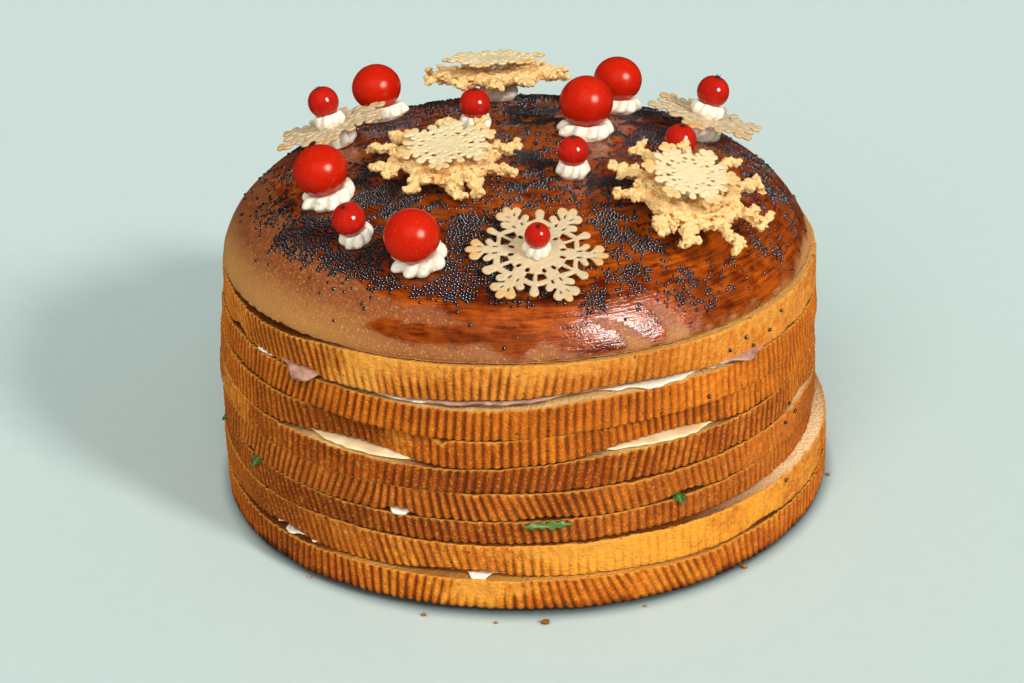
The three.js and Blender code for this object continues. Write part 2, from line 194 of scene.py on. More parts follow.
def humps(angles, places):  # smooth humps about [direction, half width, size], in degrees
    total = np.zeros_like(angles)
    for direction, halfWidth, size in places:
        apart = np.abs((np.degrees(angles) - direction + 180) % 360 - 180)
        total += size * 0.5 * (1 + np.cos(np.pi * np.minimum(1, apart / halfWidth)))
    return total


def plateaus(angles, places):  # the same with flat tops
    return sum((size * np.minimum(1, 1.7 * humps(angles, [(direction, halfWidth, 1)]))
                for direction, halfWidth, size in places), 0 * angles)


def allRound(count):  # even directions
    return np.linspace(0, 2 * np.pi, count, endpoint=False)


def betweenRows(p, t):  # smooth curve between the middle two of four rows
    return 0.5 * (2 * p[1] + (p[2] - p[0]) * t + (2 * p[0] - 5 * p[1] + 4 * p[2] - p[3]) * t ** 2
                  + (3 * p[1] - p[0] - 3 * p[2] + p[3]) * t ** 3)


def lathe(rings, low=None, high=None):  # rings from the lowest up, shut by a fan at each end given
    rows, count = rings.shape[:2]
    points = rings.reshape(-1, 3).tolist()
    i = np.arange(count)
    j = (i + 1) % count
    faces = []
    for row in range(rows - 1):
        a, b = row * count, (row + 1) * count
        faces += np.stack([a + i, a + j, b + j, b + i], 1).tolist()
    if low is not None:
        faces += np.stack([np.full(count, len(points)), j, i], 1).tolist()
        points.append(list(low))
    if high is not None:
        top = (rows - 1) * count
        faces += np.stack([np.full(count, len(points)), top + i, top + j], 1).tolist()
        points.append(list(high))
    return np.array(points), faces


def onSpokes(angles, radius, height):  # one point for each direction
    return np.stack([radius * np.cos(angles), radius * np.sin(angles), height + 0 * angles], -1)


# Studio: a pale floor that fills the view, a soft key from the front right and even fill

studio = {
    "floor": ("#bbcbc5", "#bfcfc9"),
    "crease": "#5c6461",  # where something stands on the floor
    "creaseReach": 0.007,
    "floorRadius": 6,
    "wall": "#cfded7",
    "fill": 0.36,
    "fillInGloss": 0.08,  # how much of the fill a shiny surface mirrors
    "fillColour": "#f4f7f6",
    "suns": {  # towards the light, strength, degrees across, whether it shades and whether it glints
        "softKey": ((0.64, -0.54, 0.53), 2.3, 10, True, False),
        "frontFill": ((-0.16, -0.74, 0.65), 2.4, 50, True, False),
        "softBox": ((0.60, -0.66, 0.47), 4.1, 24, False, True),
    },
    "eye": (-2.3, -613.9, 339.6),  # mm
    "elevation": 25.64,
    "roll": 1.47,
    "lens": 66.8,
    "sensor": 36,  # mm
    "clip": (0.01, 50),
}


def makeStudio():
    e, r = math.radians(studio["elevation"]), math.radians(studio["roll"])
    right, up = Vector((1, 0, 0)), Vector((0, math.sin(e), math.cos(e)))
    back = Vector((0, -math.cos(e), math.sin(e)))
    camRight = right * math.cos(r) - up * math.sin(r)
    camUp = right * math.sin(r) + up * math.cos(r)
    data = bpy.data.cameras.new("photoCamera")
    data.lens, data.sensor_width = studio["lens"], studio["sensor"]
    data.clip_start, data.clip_end = studio["clip"]
    camera = addThing("photoCamera", data)
    turn = Matrix((camRight, camUp, back)).transposed().to_4x4()
    camera.matrix_world = Matrix.Translation(Vector(studio["eye"]) * mm) @ turn
    scene.camera = camera

    for name, (towards, strength, width, shades, glints) in studio["suns"].items():
        sun = bpy.data.lights.new(name, "SUN")
        sun.energy, sun.angle = strength, math.radians(width)
        lamp = addThing(name, sun)
        lamp.rotation_euler = Vector(towards).to_track_quat("Z", "Y").to_euler()
        lamp.visible_diffuse, lamp.visible_glossy = shades, glints

    world = bpy.data.worlds.new("evenFill")
    scene.world = world
    world.use_nodes = True
    world.node_tree.nodes.clear()
    add = partial(addNode, world.node_tree)
    path = add("LightPath")
    even = add("Background", [studio["fillColour"], studio["fill"]])
    dim = add("Background", [studio["fillColour"], studio["fill"] * studio["fillInGloss"]])
    wall = add("Background", [studio["wall"], 1])
    lit = add("MixShader", [path.outputs["Is Glossy Ray"], even, dim])
    mixed = add("MixShader", [path.outputs["Is Camera Ray"], lit, wall])
    add("OutputWorld", {"Surface": mixed})
    scene.view_settings.view_transform = "Standard"

    paper, add, where = startMaterial("seamlessPaperMatte")  # flat, with no sheen
    pulp = add("TexNoise", [where, 1 / (6 * mm), 2])
    tone = add("Mix", [pulp, *studio["floor"]], data_type="RGBA")
    # the crease where something stands on it takes less light
    sky = add("AmbientOcclusion", {"Distance": studio["creaseReach"]}, samples=8)
    crease = add("MapRange", [sky.outputs["AO"], 0.3, 0.85])
    shaded = add("Mix", [crease, studio["crease"], tone], data_type="RGBA")
    endMaterial(paper, add, {"Base Color": shaded, "Roughness": 0.95, "Specular IOR Level": 0.1})
    ring = onSpokes(allRound(96), studio["floorRadius"], 0)
    points, faces = lathe(ring[None], high=(0, 0, 0))
    floor = makePiece("floor", points, faces, [paper])
    floor.visible_glossy = False  # no pale sheen on the glaze's flanks


makeStudio()
print("studio made")


# Bread slices: ribs pressed by a pleated paper case, cut faces of open crumb

ribs = {
    "count": 229,
    "pointsEach": 6,
    "depth": 0.75,  # mm, ridge to groove
    "groovePower": 0.52,  # under 1 is a broad ridge and a narrow groove
}

# by direction: how far the ribs lean to the right, per height; their strength at the left, front and right of
# the photograph's view; then, as [direction, half width, amount], where the crust is gold or, below 0, dark
# (partly painted shade on the left sides), where it is torn down to crumb, where its upper part is worn, where
# the cut face is pale (elsewhere its crumb is dark, painted shade in the joint), where the side stands out (mm),
# where an edge has lost a chip (mm) and where the joint below gapes
crusts = {
    1: {"lean": [(-150, -0.6), (-120, -0.3), (-90, 0.18), (-60, 0.2), (-30, 0.1), (60, 0)],
        "strength": (1.15, 0.8, 0.1), "brown": "#c26a1c", "gold": "#e29138",
        "crumb": "#d29a52", "taper": 0.6, "pale": [(0, 360, 0.9), (-146, 34, -0.9)],
        "gapes": [(-84, 50, 1.2), (-131, 5, 1.0), (-154, 5, 1.0)],
        "worn": [(-112, 16, 0.9), (-84, 26, 0.8), (-40, 22, 0.6)],
        "patches": [(-145, 16, -0.3), (-120, 8, 1.0), (-95, 25, 0.4), (-45, 45, 0.4), (20, 40, 0.5),
                    (135, 50, 0.3)],
        "torn": [(-121, 7, 0.6), (-30, 30, 0.3)]},
    2: {"lean": [(-150, 0.15), (-135, 0.4), (-120, 0.2), (-105, 0.1), (-90, 0.06), (-30, 0.02), (90, 0.1)],
        "strength": (0.95, 1.0, 0.6), "brown": "#bd5f10", "gold": "#e27c18",
        "crumb": "#e4b878", "taper": 0.9, "pale": [(-85, 62, 1.0), (-50, 20, 0.5)],
        "patches": [(-92, 26, -0.1), (-55, 30, 0.4)], "torn": [(-55, 12, 0.25)]},
    3: {"lean": [(-150, -0.1), (-135, -0.36), (-120, -0.3), (-105, 0), (-30, 0), (90, -0.1)],
        "strength": (1.0, 1.1, 0.55), "brown": "#b05610", "gold": "#da7616",
        "crumb": "#c08c4c", "taper": 0.9, "topChips": [(-104, 2.4, 1.8)],
        "gapes": [(-123, 22, 1.3), (-66, 21, 1.3)],
        "patches": [(-152, 12, 0.4), (-124, 26, -0.7), (-113, 5, 0.8), (-87, 14, 0.35), (-40, 30, 0.4)],
        "torn": [(-113, 6, 0.5), (-165, 10, 0.4)]},
    4: {"lean": [(-150, -0.1), (-135, 0), (-105, 0.1), (-90, 0.2), (-60, 0.34), (-45, 0.22), (-30, 0.25),
                 (90, 0)],
        "strength": (0.6, 1.15, 0.8), "brown": "#9c450a", "gold": "#cf7820",
        "crumb": "#e4b878", "taper": 0.7, "pale": [(-66, 20, 1.0), (-123, 20, 1.0)], "stands": [(-25, 18, 3.4)],
        "patches": [(-156, 18, 1.0), (-125, 20, -0.4), (-92, 24, -0.3), (-50, 30, 0.3), (-20, 30, 0.5)],
        "torn": [(-162, 12, 0.5)]},
    5: {"lean": [(-165, 0.3), (-150, 0.35), (-135, 0.45), (-119, 0.5), (-110, -0.15), (-90, -0.4), (-75, -0.25),
                 (-30, -0.25), (0, 0), (120, 0.2)],
        "strength": (1.0, 1.25, 0.2), "brown": "#ae5715", "gold": "#d6741e",
        "crumb": "#ecc68a", "taper": 0.4, "pale": [(-26, 13, 1.0)],
        "gapes": [(-150, 5, 1.2), (-112, 4.5, 1.2), (-86, 8, 0.7), (-60, 8, 1.0)],
        "patches": [(-145, 20, 0.3), (-120, 10, -0.3), (-102, 16, 0.4), (-80, 12, -0.3), (-40, 30, 0.2)]},
    6: {"lean": [(-150, -0.2), (-135, -0.5), (-120, -0.2), (-90, -0.15), (-75, -0.1), (-60, 0), (-30, 0),
                 (90, 0)],
        "strength": (1.0, 1.15, 0.5), "brown": "#9c4a0f", "gold": "#c0661a",
        "crumb": "#b98748", "taper": 0.3,
        "patches": [(-130, 24, -0.9), (-90, 14, 0.1), (-70, 20, 0.2), (-35, 34, 0.6)]},
    7: {"lean": [(-150, -0.8), (-135, -0.5), (-105, -0.3), (-90, 0), (-30, 0), (90, 0)],
        "strength": (0.8, 0.7, 0.06), "brown": "#bb6018", "gold": "#ec9a2e",
        "crumb": "#fbd29a", "taper": 0.2, "pale": [(-22, 42, 1.0), (60, 60, 0.7)], "stands": [(-108, 75, -2.2)],
        "bottomChips": [(-101, 15, 0.9)], "gapes": [(-101, 18, 0.6), (-138, 9, 0.8), (-44, 8, 0.5)],
        "worn": [(-88, 22, 0.7), (-122, 12, 0.4)],
        "patches": [(-141, 26, -0.9), (-98, 12, 0.4), (-72, 26, 1.2), (-40, 40, 0.45), (15, 30, 0.5),
                    (100, 60, 0.3)],
        "torn": [(-72, 20, 0.55), (-30, 30, 0.4)]},
    8: {"lean": [(-150, -0.08), (-135, 0.13), (-120, -0.07), (-105, 0.2), (-90, 0), (-75, -0.42), (-60, -0.4),
                 (-45, -0.15), (-30, 0), (90, 0)],
        "strength": (1.0, 1.0, 0.8), "brown": "#be5a10", "gold": "#e89024",
        "crumb": "#de9a48", "taper": 0.0, "pale": [(-80, 46, 0.9), (-118, 14, 0.6)], "worn": [(-98, 12, 0.7)],
        "patches": [(-140, 30, -0.6), (-97, 13, 1.0), (-112, 25, 0.2), (-60, 30, 0.2)],
        "torn": [(-96, 9, 0.7), (-45, 10, 0.2)]},
}

loafRadius = 105  # mm, about
cadSpokes = 60  # directions in the solids of the bread and the fillings
bottomSlice = 8
cutFaceRings = (0.25, 0.8, 1.6, 2.8, 4.6, 8, 13, 24)  # mm in from the edge
# shares of a slice's height
sideRows = np.array([0, 0.015, 0.05, 0.1, 0.17, 0.26, 0.36, 0.46, 0.56, 0.66, 0.76, 0.84, 0.9, 0.95, 0.985, 1])


def readSpokes(node, below=None, beyond=1):  # a CAD node's rings by direction, and its middle heights
    co = np.array([v.co for v in frame["nodes"][node].data.vertices]) / mm
    co = np.unique(np.round(co, 3), axis=0)
    radius = np.hypot(co[:, 0], co[:, 1])
    middles = np.sort(co[radius < 0.5][:, 2])
    keep = radius > beyond
    if below is not None:
        keep &= co[:, 2] < below
    co, radius = co[keep], radius[keep]
    index = np.round(np.arctan2(co[:, 1], co[:, 0]) / (2 * np.pi) * cadSpokes).astype(int) % cadSpokes
    rings = []
    for i in range(cadSpokes):
        at = index == i
        order = np.argsort(co[at][:, 2])
        rings.append(np.stack([radius[at][order], co[at][order][:, 2]], -1))
    return np.array(rings).transpose(1, 0, 2), middles


def aroundLoaf(values, angles):  # smooth closed curve through values on even spokes
    count = len(values)
    place = (angles / (2 * np.pi) * count) % count
    i = np.floor(place).astype(int)
    t = place - i
    return betweenRows([values[(i + k) % count] for k in (-1, 0, 1, 2)], t)


def leftFrontRight(angles, triple):  # values at -150, -90 and -30 degrees, blended, their mean behind
    spread = np.radians(60)
    apart = [np.abs((angles - np.radians(d) + np.pi) % (2 * np.pi) - np.pi) for d in (-150, -90, -30)]
    weights = [np.clip(1 - a / spread, 0, 1) for a in apart]
    rest = np.clip(1 - sum(weights), 0, 1)
    return sum(w * v for w, v in zip(weights, triple)) + rest * sum(triple) / 3


def byDirection(angles, table):  # closed table of (degrees, value), smoothly read
    degrees = [d for d, _ in table]
    values = [v for _, v in table]
    degrees = [degrees[-1] - 360] + degrees + [degrees[0] + 360]
    values = [values[-1]] + values + [values[0]]
    return np.interp((np.degrees(angles) + 180) % 360 - 180, degrees, values)


def ribTree():  # moves each crust point in by the groove that it lies in
    tree, add, inp = startTree("crustRibs", {"Depth": "Float", "Groove Power": "Float", "Crust": "Material"})
    phase = add("GeometryNodeInputNamedAttribute", {"Name": "ribPhase"}, data_type="FLOAT")
    share = add("GeometryNodeInputNamedAttribute", {"Name": "ribStrength"}, data_type="FLOAT")
    wave = add("Math", [phase], operation="COSINE")
    ridge = add("Math", [wave, 0.5, 0.5], operation="MULTIPLY_ADD")
    broad = add("Math", [ridge, inp["Groove Power"]], operation="POWER")
    dent = add("Math", [1, broad], operation="SUBTRACT")
    groove = add("Math", [dent, share], operation="MULTIPLY")
    stored = add("GeometryNodeStoreNamedAttribute", {
        "Geometry": inp["Geometry"], "Value": groove, "Name": "groove"}, data_type="FLOAT", domain="POINT")
    position = add("GeometryNodeInputPosition")
    flat = add("VectorMath", [position, (1, 1, 0)], operation="MULTIPLY")
    outward = add("VectorMath", [flat], operation="NORMALIZE")
    depth = add("Math", [groove, inp["Depth"]], operation="MULTIPLY")
    inward = add("Math", [depth, -1], operation="MULTIPLY")
    offset = add("VectorMath", [outward, inward], operation="SCALE")
    moved = add("GeometryNodeSetPosition", {"Geometry": stored, "Offset": offset})
    endTree(add, moved, inp["Crust"])
    return tree


def crustMaterial(number, look):
    # Milk-bread crust, baked in a pleated case: dry, painted shade in the grooves, gold crumb where it is torn or
    # cut
    material, add, where = startMaterial(f"bakedCrustRibbed{number}")
    groove, cut, gold, torn, pale, scorch = (
        add("Attribute", attribute_name=n).outputs["Fac"]
        for n in ("groove", "cut", "gold", "torn", "pale", "scorch"))
    broad = add("TexNoise", [where, 1 / (18 * mm), 3])
    fine = add("TexNoise", [where, 1 / (2.4 * mm), 4, 0.7])
    grain = add("TexNoise", [where, 1 / (0.8 * mm), 2])
    # baked tone: gold patches, blotches of about 18 mm, mottling of about 2 mm;
    # the dark patches on the left sides are partly painted shade
    blotch = add("MapRange", [broad, 0.35, 0.7, -0.3, 0.5])
    mottle = add("MapRange", [fine, 0.3, 0.7, -0.5, 0.5])
    bakeAndShade = add("Math", [blotch, gold], operation="ADD")
    tone = add("Math", [bakeAndShade, mottle], operation="ADD", use_clamp=True)
    crust = add("Mix", [tone, look["brown"], look["gold"]], data_type="RGBA")
    ragged = add("Math", [torn, mottle], operation="ADD")
    frayed = add("Math", [mottle, 0.6, cut], operation="MULTIPLY_ADD")
    layers = [  # what each follows, from, to, its most and its colour
        (bakeAndShade, 0.1, -0.9, 0.6, "#662a07"),  # dark patches, partly painted shade on the left sides
        (ragged, 0.3, 0.85, 0.8, "#d68f36"),  # bare crumb where the crust is torn, with a ragged border
        (grain, 0.52, 0.72, 0.6, "#dc903c"),  # pale grains of a third of a millimetre, drawn coarser to show
        (groove, 0.1, 0.75, 0.86, "#622909"),  # painted shade in the grooves
        (frayed, 0.25, 0.8, 0.7, "#d8963e"),  # crumbly golden lip along the cut
    ]
    for share, start, end, most, colour in layers:
        mask = add("MapRange", [share, start, end, 0, most])
        crust = add("Mix", [mask, crust, colour], data_type="RGBA")
    # cut faces: brown at the edge, then crumb, pale where marked and dark brown elsewhere as painted shade in the
    # joint
    crumb = add("Mix", [pale, "#6a3814", look["crumb"]], data_type="RGBA")
    inside = add("MapRange", [frayed, 0.85, 1.25])
    crumbed = add("Mix", [inside, crust, crumb], data_type="RGBA")
    # burnt specks of about 1 mm, and the bottom slice's dark foot: partly burnt crust, partly painted contact
    # shade
    speck = add("TexNoise", [where, 1 / (2.1 * mm), 2])
    burnt = add("MapRange", [speck, 0.68, 0.76, 0, 0.7])
    charred = add("Math", [burnt, scorch], operation="MAXIMUM")
    final = add("Mix", [charred, crumbed, "#32150a"], data_type="RGBA")
    relief = add("Math", [fine, grain], operation="ADD")
    bump = add("Bump", {"Height": relief, "Strength": 1, "Distance": 0.7 * mm})
    sheen = add("MapRange", [fine, 0.3, 0.7, 0.62, 0.85])
    return endMaterial(material, add, {
        "Base Color": final, "Roughness": sheen, "Normal": bump, "Specular IOR Level": 0.08})


# rings of crumb from the edge in, their relief inwards
def cutFace(angles, edge, middle, sign, bite, seed, fade=1.1):
    rings = []
    for inset in cutFaceRings:
        radius = edge[0] - inset
        height = middle + (edge[1] - middle) * radius / edge[0]
        ring = onSpokes(angles, radius, height)
        pores = 0.5 + 0.5 * rough(ring, 1.6, seed) + 0.3 * rough(ring, 0.8, seed + 1)
        ring[:, 2] -= sign * (0.32 * np.clip(pores, 0, 1.2) * min(1, inset) + bite * math.exp(-inset / fade))
        rings.append(ring)
    return rings


def makeSlice(number, look, tree):
    (low, crust, high), middles = readSpokes(f"bread_slice_{number}")
    count = ribs["count"] * ribs["pointsEach"]
    angles = allRound(count)

    def marks(name, at=angles):
        return humps(at, look.get(name, []))

    _, lowZ, outR, _, _, highZ = (aroundLoaf(ring[:, k], angles) for ring in (low, crust, high) for k in (0, 1))
    outR = outR + marks("stands")
    tall = highZ - lowZ
    seed = 40 * number
    flat = onSpokes(angles, loafRadius, 10 * number)
    lean = byDirection(angles, look["lean"]) + 0.1 * rough(flat, 35, seed)
    strength = leftFrontRight(angles, look["strength"]) * (1 + 0.3 * rough(flat, 12, seed + 7))
    pleats = angles * ribs["count"] + 0.7 * rough(flat, 8, seed + 15) + 0.4 * rough(flat, 4.2, seed + 16)
    phases = [pleats - ribs["count"] * lean * tall * (t - 0.5) / loafRadius for t in sideRows]
    # the knife bites deeper at grooves and in soft spots
    bites = []
    for phase, k, chips in ((phases[0], 8, "bottomChips"), (phases[-1], 9, "topChips")):
        soft = sum(0.3 * np.clip(rough(flat, size, seed + k + step), 0, 1) for size, step in ((2.6, 0), (8, 10)))
        scallop = 0.06 * (1 - np.cos(phase)) * np.clip(strength, 0, 1)
        bites.append(scallop + soft + marks(chips))
    foot = 1.4 if number == bottomSlice else 0  # the bottom slice curls up from what it stands on
    if foot:
        bites[0] = bites[0] + 0.3 + 0.3 * rough(flat, 20, seed + 20) + humps(angles, [(-100, 50, 1.5)])
    else:  # soft bread sinks over the filling, save where the joint gapes
        below = aroundLoaf(readSpokes(f"bread_slice_{number + 1}")[0][2][:, 1], angles)
        sunk = np.clip(lowZ - below - 0.3, 0, 2.5) * np.clip(1 - marks("gapes"), 0, 1)
        bites[0] = bites[0] - sunk
    side, cuts, torns, golds, scorchesAndShade, lasting = [], [], [], [], [], []
    for t in sideRows:
        fromEdge = min(t, 1 - t) * tall
        inset = 0.15 * (1 - easeStep(0, 0.6, fromEdge)) + foot * max(0, 1 - t / 0.2) ** 2
        ring = onSpokes(angles, outR - inset + look["taper"] * (0.5 - t),
                        lowZ + bites[0] + (tall - bites[0] - bites[1]) * t)
        warped = angles + np.radians(4) * rough(ring, 5, seed + 12)
        warped += np.radians(2) * rough(ring, 1.8, seed + 13)
        worn = easeStep(0.35, 0.8, t + 0.18 * rough(ring, 6, seed + 14)) * marks("worn", warped)
        torn = np.clip(marks("torn", warped) + worn, 0, 1)
        dent = sum(deep * rough(ring, size, seed + k)
                   for k, (deep, size) in enumerate(((0.25, 9), (0.2, 3.4), (0.15, 1.5))))
        dent -= torn * (0.5 + 0.4 * rough(ring, 2.2, seed + 3))
        dent -= 0.12 * (1 - easeStep(0, 0.8, fromEdge)) * (1 + rough(ring, 1.3, seed + 4))
        ring[:, :2] *= (1 + dent / outR)[:, None]
        side.append(ring)
        # the lip along the lower cut is weaker and so dimmer: painted shade under the joint
        cuts.append((0.8 if t > 0.5 else 0.3) * np.exp(-fromEdge / 0.5) * (not foot or t > 0.5))
        torns.append(torn)
        golds.append(marks("patches", warped))
        # the bottom slice's foot darkens towards the floor: partly burnt crust, partly painted contact shade
        scorchesAndShade.append(bool(foot) * (0.9 - humps(angles, [(-100, 45, 0.7)]))
                        * easeStep(4.6, 0.8, tall * t + 1.8 * rough(ring, 4, seed + 17)))
        lasting.append(1 + 0.35 * rough(ring, 4.5, seed + 18))
    edges = [np.hypot(ring[:, 0], ring[:, 1]) for ring in (side[0], side[-1])]
    under = cutFace(angles, (edges[0], lowZ), middles[0], -1, bites[0], seed + 5, 9.0 if foot else 1.1)
    over = cutFace(angles, (edges[1], highZ), middles[-1], 1, bites[1], seed + 6)
    points, faces = lathe(np.array(under[::-1] + side + over), (0, 0, middles[0]), (0, 0, middles[-1]))
    material = crustMaterial(number, look)
    piece = makePiece(f"breadSlice{number}", points * mm, faces, [material])
    inner = len(cutFaceRings)
    fromRim = [np.full(count, v) for v in (1.0, 1.2) + (1.6,) * (inner - 2)]
    kept = [strength * last * (1 - 0.9 * torn) * (1 - 0.5 * cut)
            for last, torn, cut in zip(lasting, torns, cuts)]
    faded = [[edge * share for share in (1, 0.5) + (0,) * (inner - 2)] for edge in (kept[0], kept[-1])]
    pale = np.clip(marks("pale"), 0, 1)
    layers = {
        "cut": fromRim[::-1] + cuts + fromRim,
        "ribStrength": faded[0][::-1] + kept + faded[1],
        "ribPhase": [phases[0]] * inner + phases + [phases[-1]] * inner,
        "gold": [golds[0]] * inner + golds + [golds[-1]] * inner,
        "torn": [torns[0]] * inner + torns + [torns[-1]] * inner,
        "pale": [pale] * (2 * inner + len(side)),
        "scorch": [scorchesAndShade[0]] * inner + scorchesAndShade + [0 * angles] * inner,
    }
    paint(piece, **{name: np.append(np.ravel(rows), [rows[0][0], rows[-1][0]])
                    for name, rows in layers.items()})
    runTree(piece, tree, {"Depth": ribs["depth"] * mm, "Groove Power": ribs["groovePower"], "Crust": material})
    settle(piece, "crust", f"bread_slice_{number}")


ribNodes = ribTree()
for number, look in crusts.items():
    makeSlice(number, look, ribNodes)
print("bread slices made")


# Cap: an egg-washed dome, matt where the brush missed the rim

dome = {
    "radius": 102.5,
    "waist": 82,
    "apex": 120,
    "shoulder": 3.5,
    "spokes": 540,
    "rowStep": 1.25,  # mm along the crust
    "rimBelow": 91.5,  # where the solid's rim is, lower and further out than this
    "rimBeyond": 95,
    "seedsAbove": 88,
    # how far out the egg wash reaches, as a share of the radius, by direction
    "washEdge": [(-180, 0.82), (-168, 0.80), (-155, 0.81), (-141, 0.85), (-126, 0.88), (-114, 0.912),
                 (-106, 0.925), (-101, 0.95), (-97, 0.972), (-90, 0.98), (-83, 0.985), (-65, 0.992),
                 (-45, 0.988), (-25, 0.984), (0, 0.97), (40, 0.96), (90, 0.95), (130, 0.92)],
    # how far out the seeds lie
    "seedEdge": [(-180, 0.93), (-165, 0.90), (-126, 0.885), (-109, 0.90), (-93, 0.905), (-80, 0.93), (-66, 0.955),
                 (-45, 0.975), (-10, 0.98), (60, 0.98), (130, 0.97)],
    # dark runs of wash, the last two painted shade under the front wafer: direction and share at the middle,
    # half widths of both, how dark
    "runs": [(-113, 0.963, 7, 0.013, 0.4), (-100, 0.967, 5, 0.013, 0.5), (-91, 0.970, 5, 0.012, 0.5),
             (-83, 0.972, 4, 0.010, 0.5), (-74, 0.985, 9, 0.004, 0.6), (-97, 0.893, 9, 0.014, 1.0),
             (-84, 0.895, 8, 0.014, 1.0)],
    # how golden the bare rim is
    "golden": [(-180, 0.8), (-165, 1.0), (-143, 0.8), (-128, 0.65), (-108, 0.2), (-80, 0.2), (-55, 0.9), (0, 0.9),
               (60, 0.5), (120, 0.4)],
    # matt gaps between strokes: direction and share at the start, degrees per share, half width in degrees
    "gaps": [(-65, 0.933, 68, 2.4), (-75, 0.950, 158, 2.2)],
}


def domeHeight(x, y):
    share = np.minimum(1, np.hypot(x, y) / dome["radius"])
    return dome["waist"] + (dome["apex"] - dome["waist"]) * np.sqrt(1 - share ** dome["shoulder"])


def domeNormal(x, y):
    step = 0.05
    slopeX = (domeHeight(x + step, y) - domeHeight(x - step, y)) / (2 * step)
    slopeY = (domeHeight(x, y + step) - domeHeight(x, y - step)) / (2 * step)
    normal = np.stack([-slopeX, -slopeY, np.ones_like(slopeX)], -1)
    return normal / np.linalg.norm(normal, axis=-1, keepdims=True)


poppy = {"length": 1.5, "width": 1.25, "height": 1.1, "apart": 0.9, "tries": 12, "seed": 4}  # mm, per square mm
# where seeds lie thick, beside some toppings also where the ground is shaded, as painted shade: x, y,
# spread along x and y in mm, share of the ground covered
seedDrifts = [
    (-34, 60, 12, 26, 0.1), (2, 70, 24, 16, 0.14), (8, 34, 8, 12, 0.7), (45, 35, 7, 12, 0.6),
    (46, 6, 6, 12, 0.3), (36, 0, 8, 12, 0.22), (-42, 28, 7, 12, 0.18), (-24, 46, 7, 14, 0.08),
    (-80, 0, 4, 12, 0.08), (-75, -26, 7, 6, 0.25), (-86, 12, 4, 8, 0.03), (-48, -28, 6, 14, 0.6),
    (-40, -42, 7, 7, 0.7), (-40, -4, 6, 10, 0.5), (-65, -47, 9, 6, 1.2), (-53, -65, 9, 7, 1.7),
    (-42, -71, 9, 6, 1.1), (-16, -76, 7, 10, 0.95), (-16, -82, 6, 4, 1.2), (-28, -82, 8, 4, 0.8),
    (6, -20, 6, 12, 0.45), (6, -42, 8, 7, 0.3), (18, -34, 6, 8, 0.12), (32, -31, 5, 5, 0.9),
    (33, -49, 6, 5, 0.5), (32, -64, 5, 6, 0.45), (-28, -46, 7, 6, 0.22), (-14, -62, 7, 8, 0.45),
    (82, -8, 6, 14, 0.5), (80, -44, 5, 6, 0.25), (57, -78, 5, 3.5, 0.5), (69, -69, 2.5, 3, 0.4),
    (38, -79, 4, 3, 0.45), (30, -84, 7, 3, 0.4), (19, -90, 6, 3, 0.55), (59, -82, 7, 2.5, 0.3),
    (35, -70, 4, 3, 0.4), (43, -70, 3, 3, 0.4), (-2, -90, 9, 3, 0.25), (-20, 10, 10, 14, 0.08),
    (-58, 50, 12, 16, 0.2), (62, 40, 10, 16, 0.12), (20, -66, 14, 10, 0.06), (0, -4, 12, 12, 0.08),
    (52, 80, 8, 8, 0.45),
]


def seedDrift(x, y):
    return sum(share * np.exp(-0.5 * (((x - cx) / sx) ** 2 + ((y - cy) / sy) ** 2))
               for cx, cy, sx, sy, share in seedDrifts)


def seedDensity(x, y):
    total = 0.012 + seedDrift(x, y)
    # drifts break up into clumps
    clump = rough(np.stack([x / 1.6, y, 0 * x], -1), 3.6, 5) + 0.6 * rough(np.stack([x, y, 0 * x], -1), 1.9, 6)
    total *= 2 * np.clip(0.75 + 1.6 * clump + 0.4 * np.minimum(1, total), 0.03, 1.8)
    share = np.hypot(x, y) / dome["radius"]
    return np.clip(total, 0, 1) * (1 - easeStep(0.94, 1.0, share))


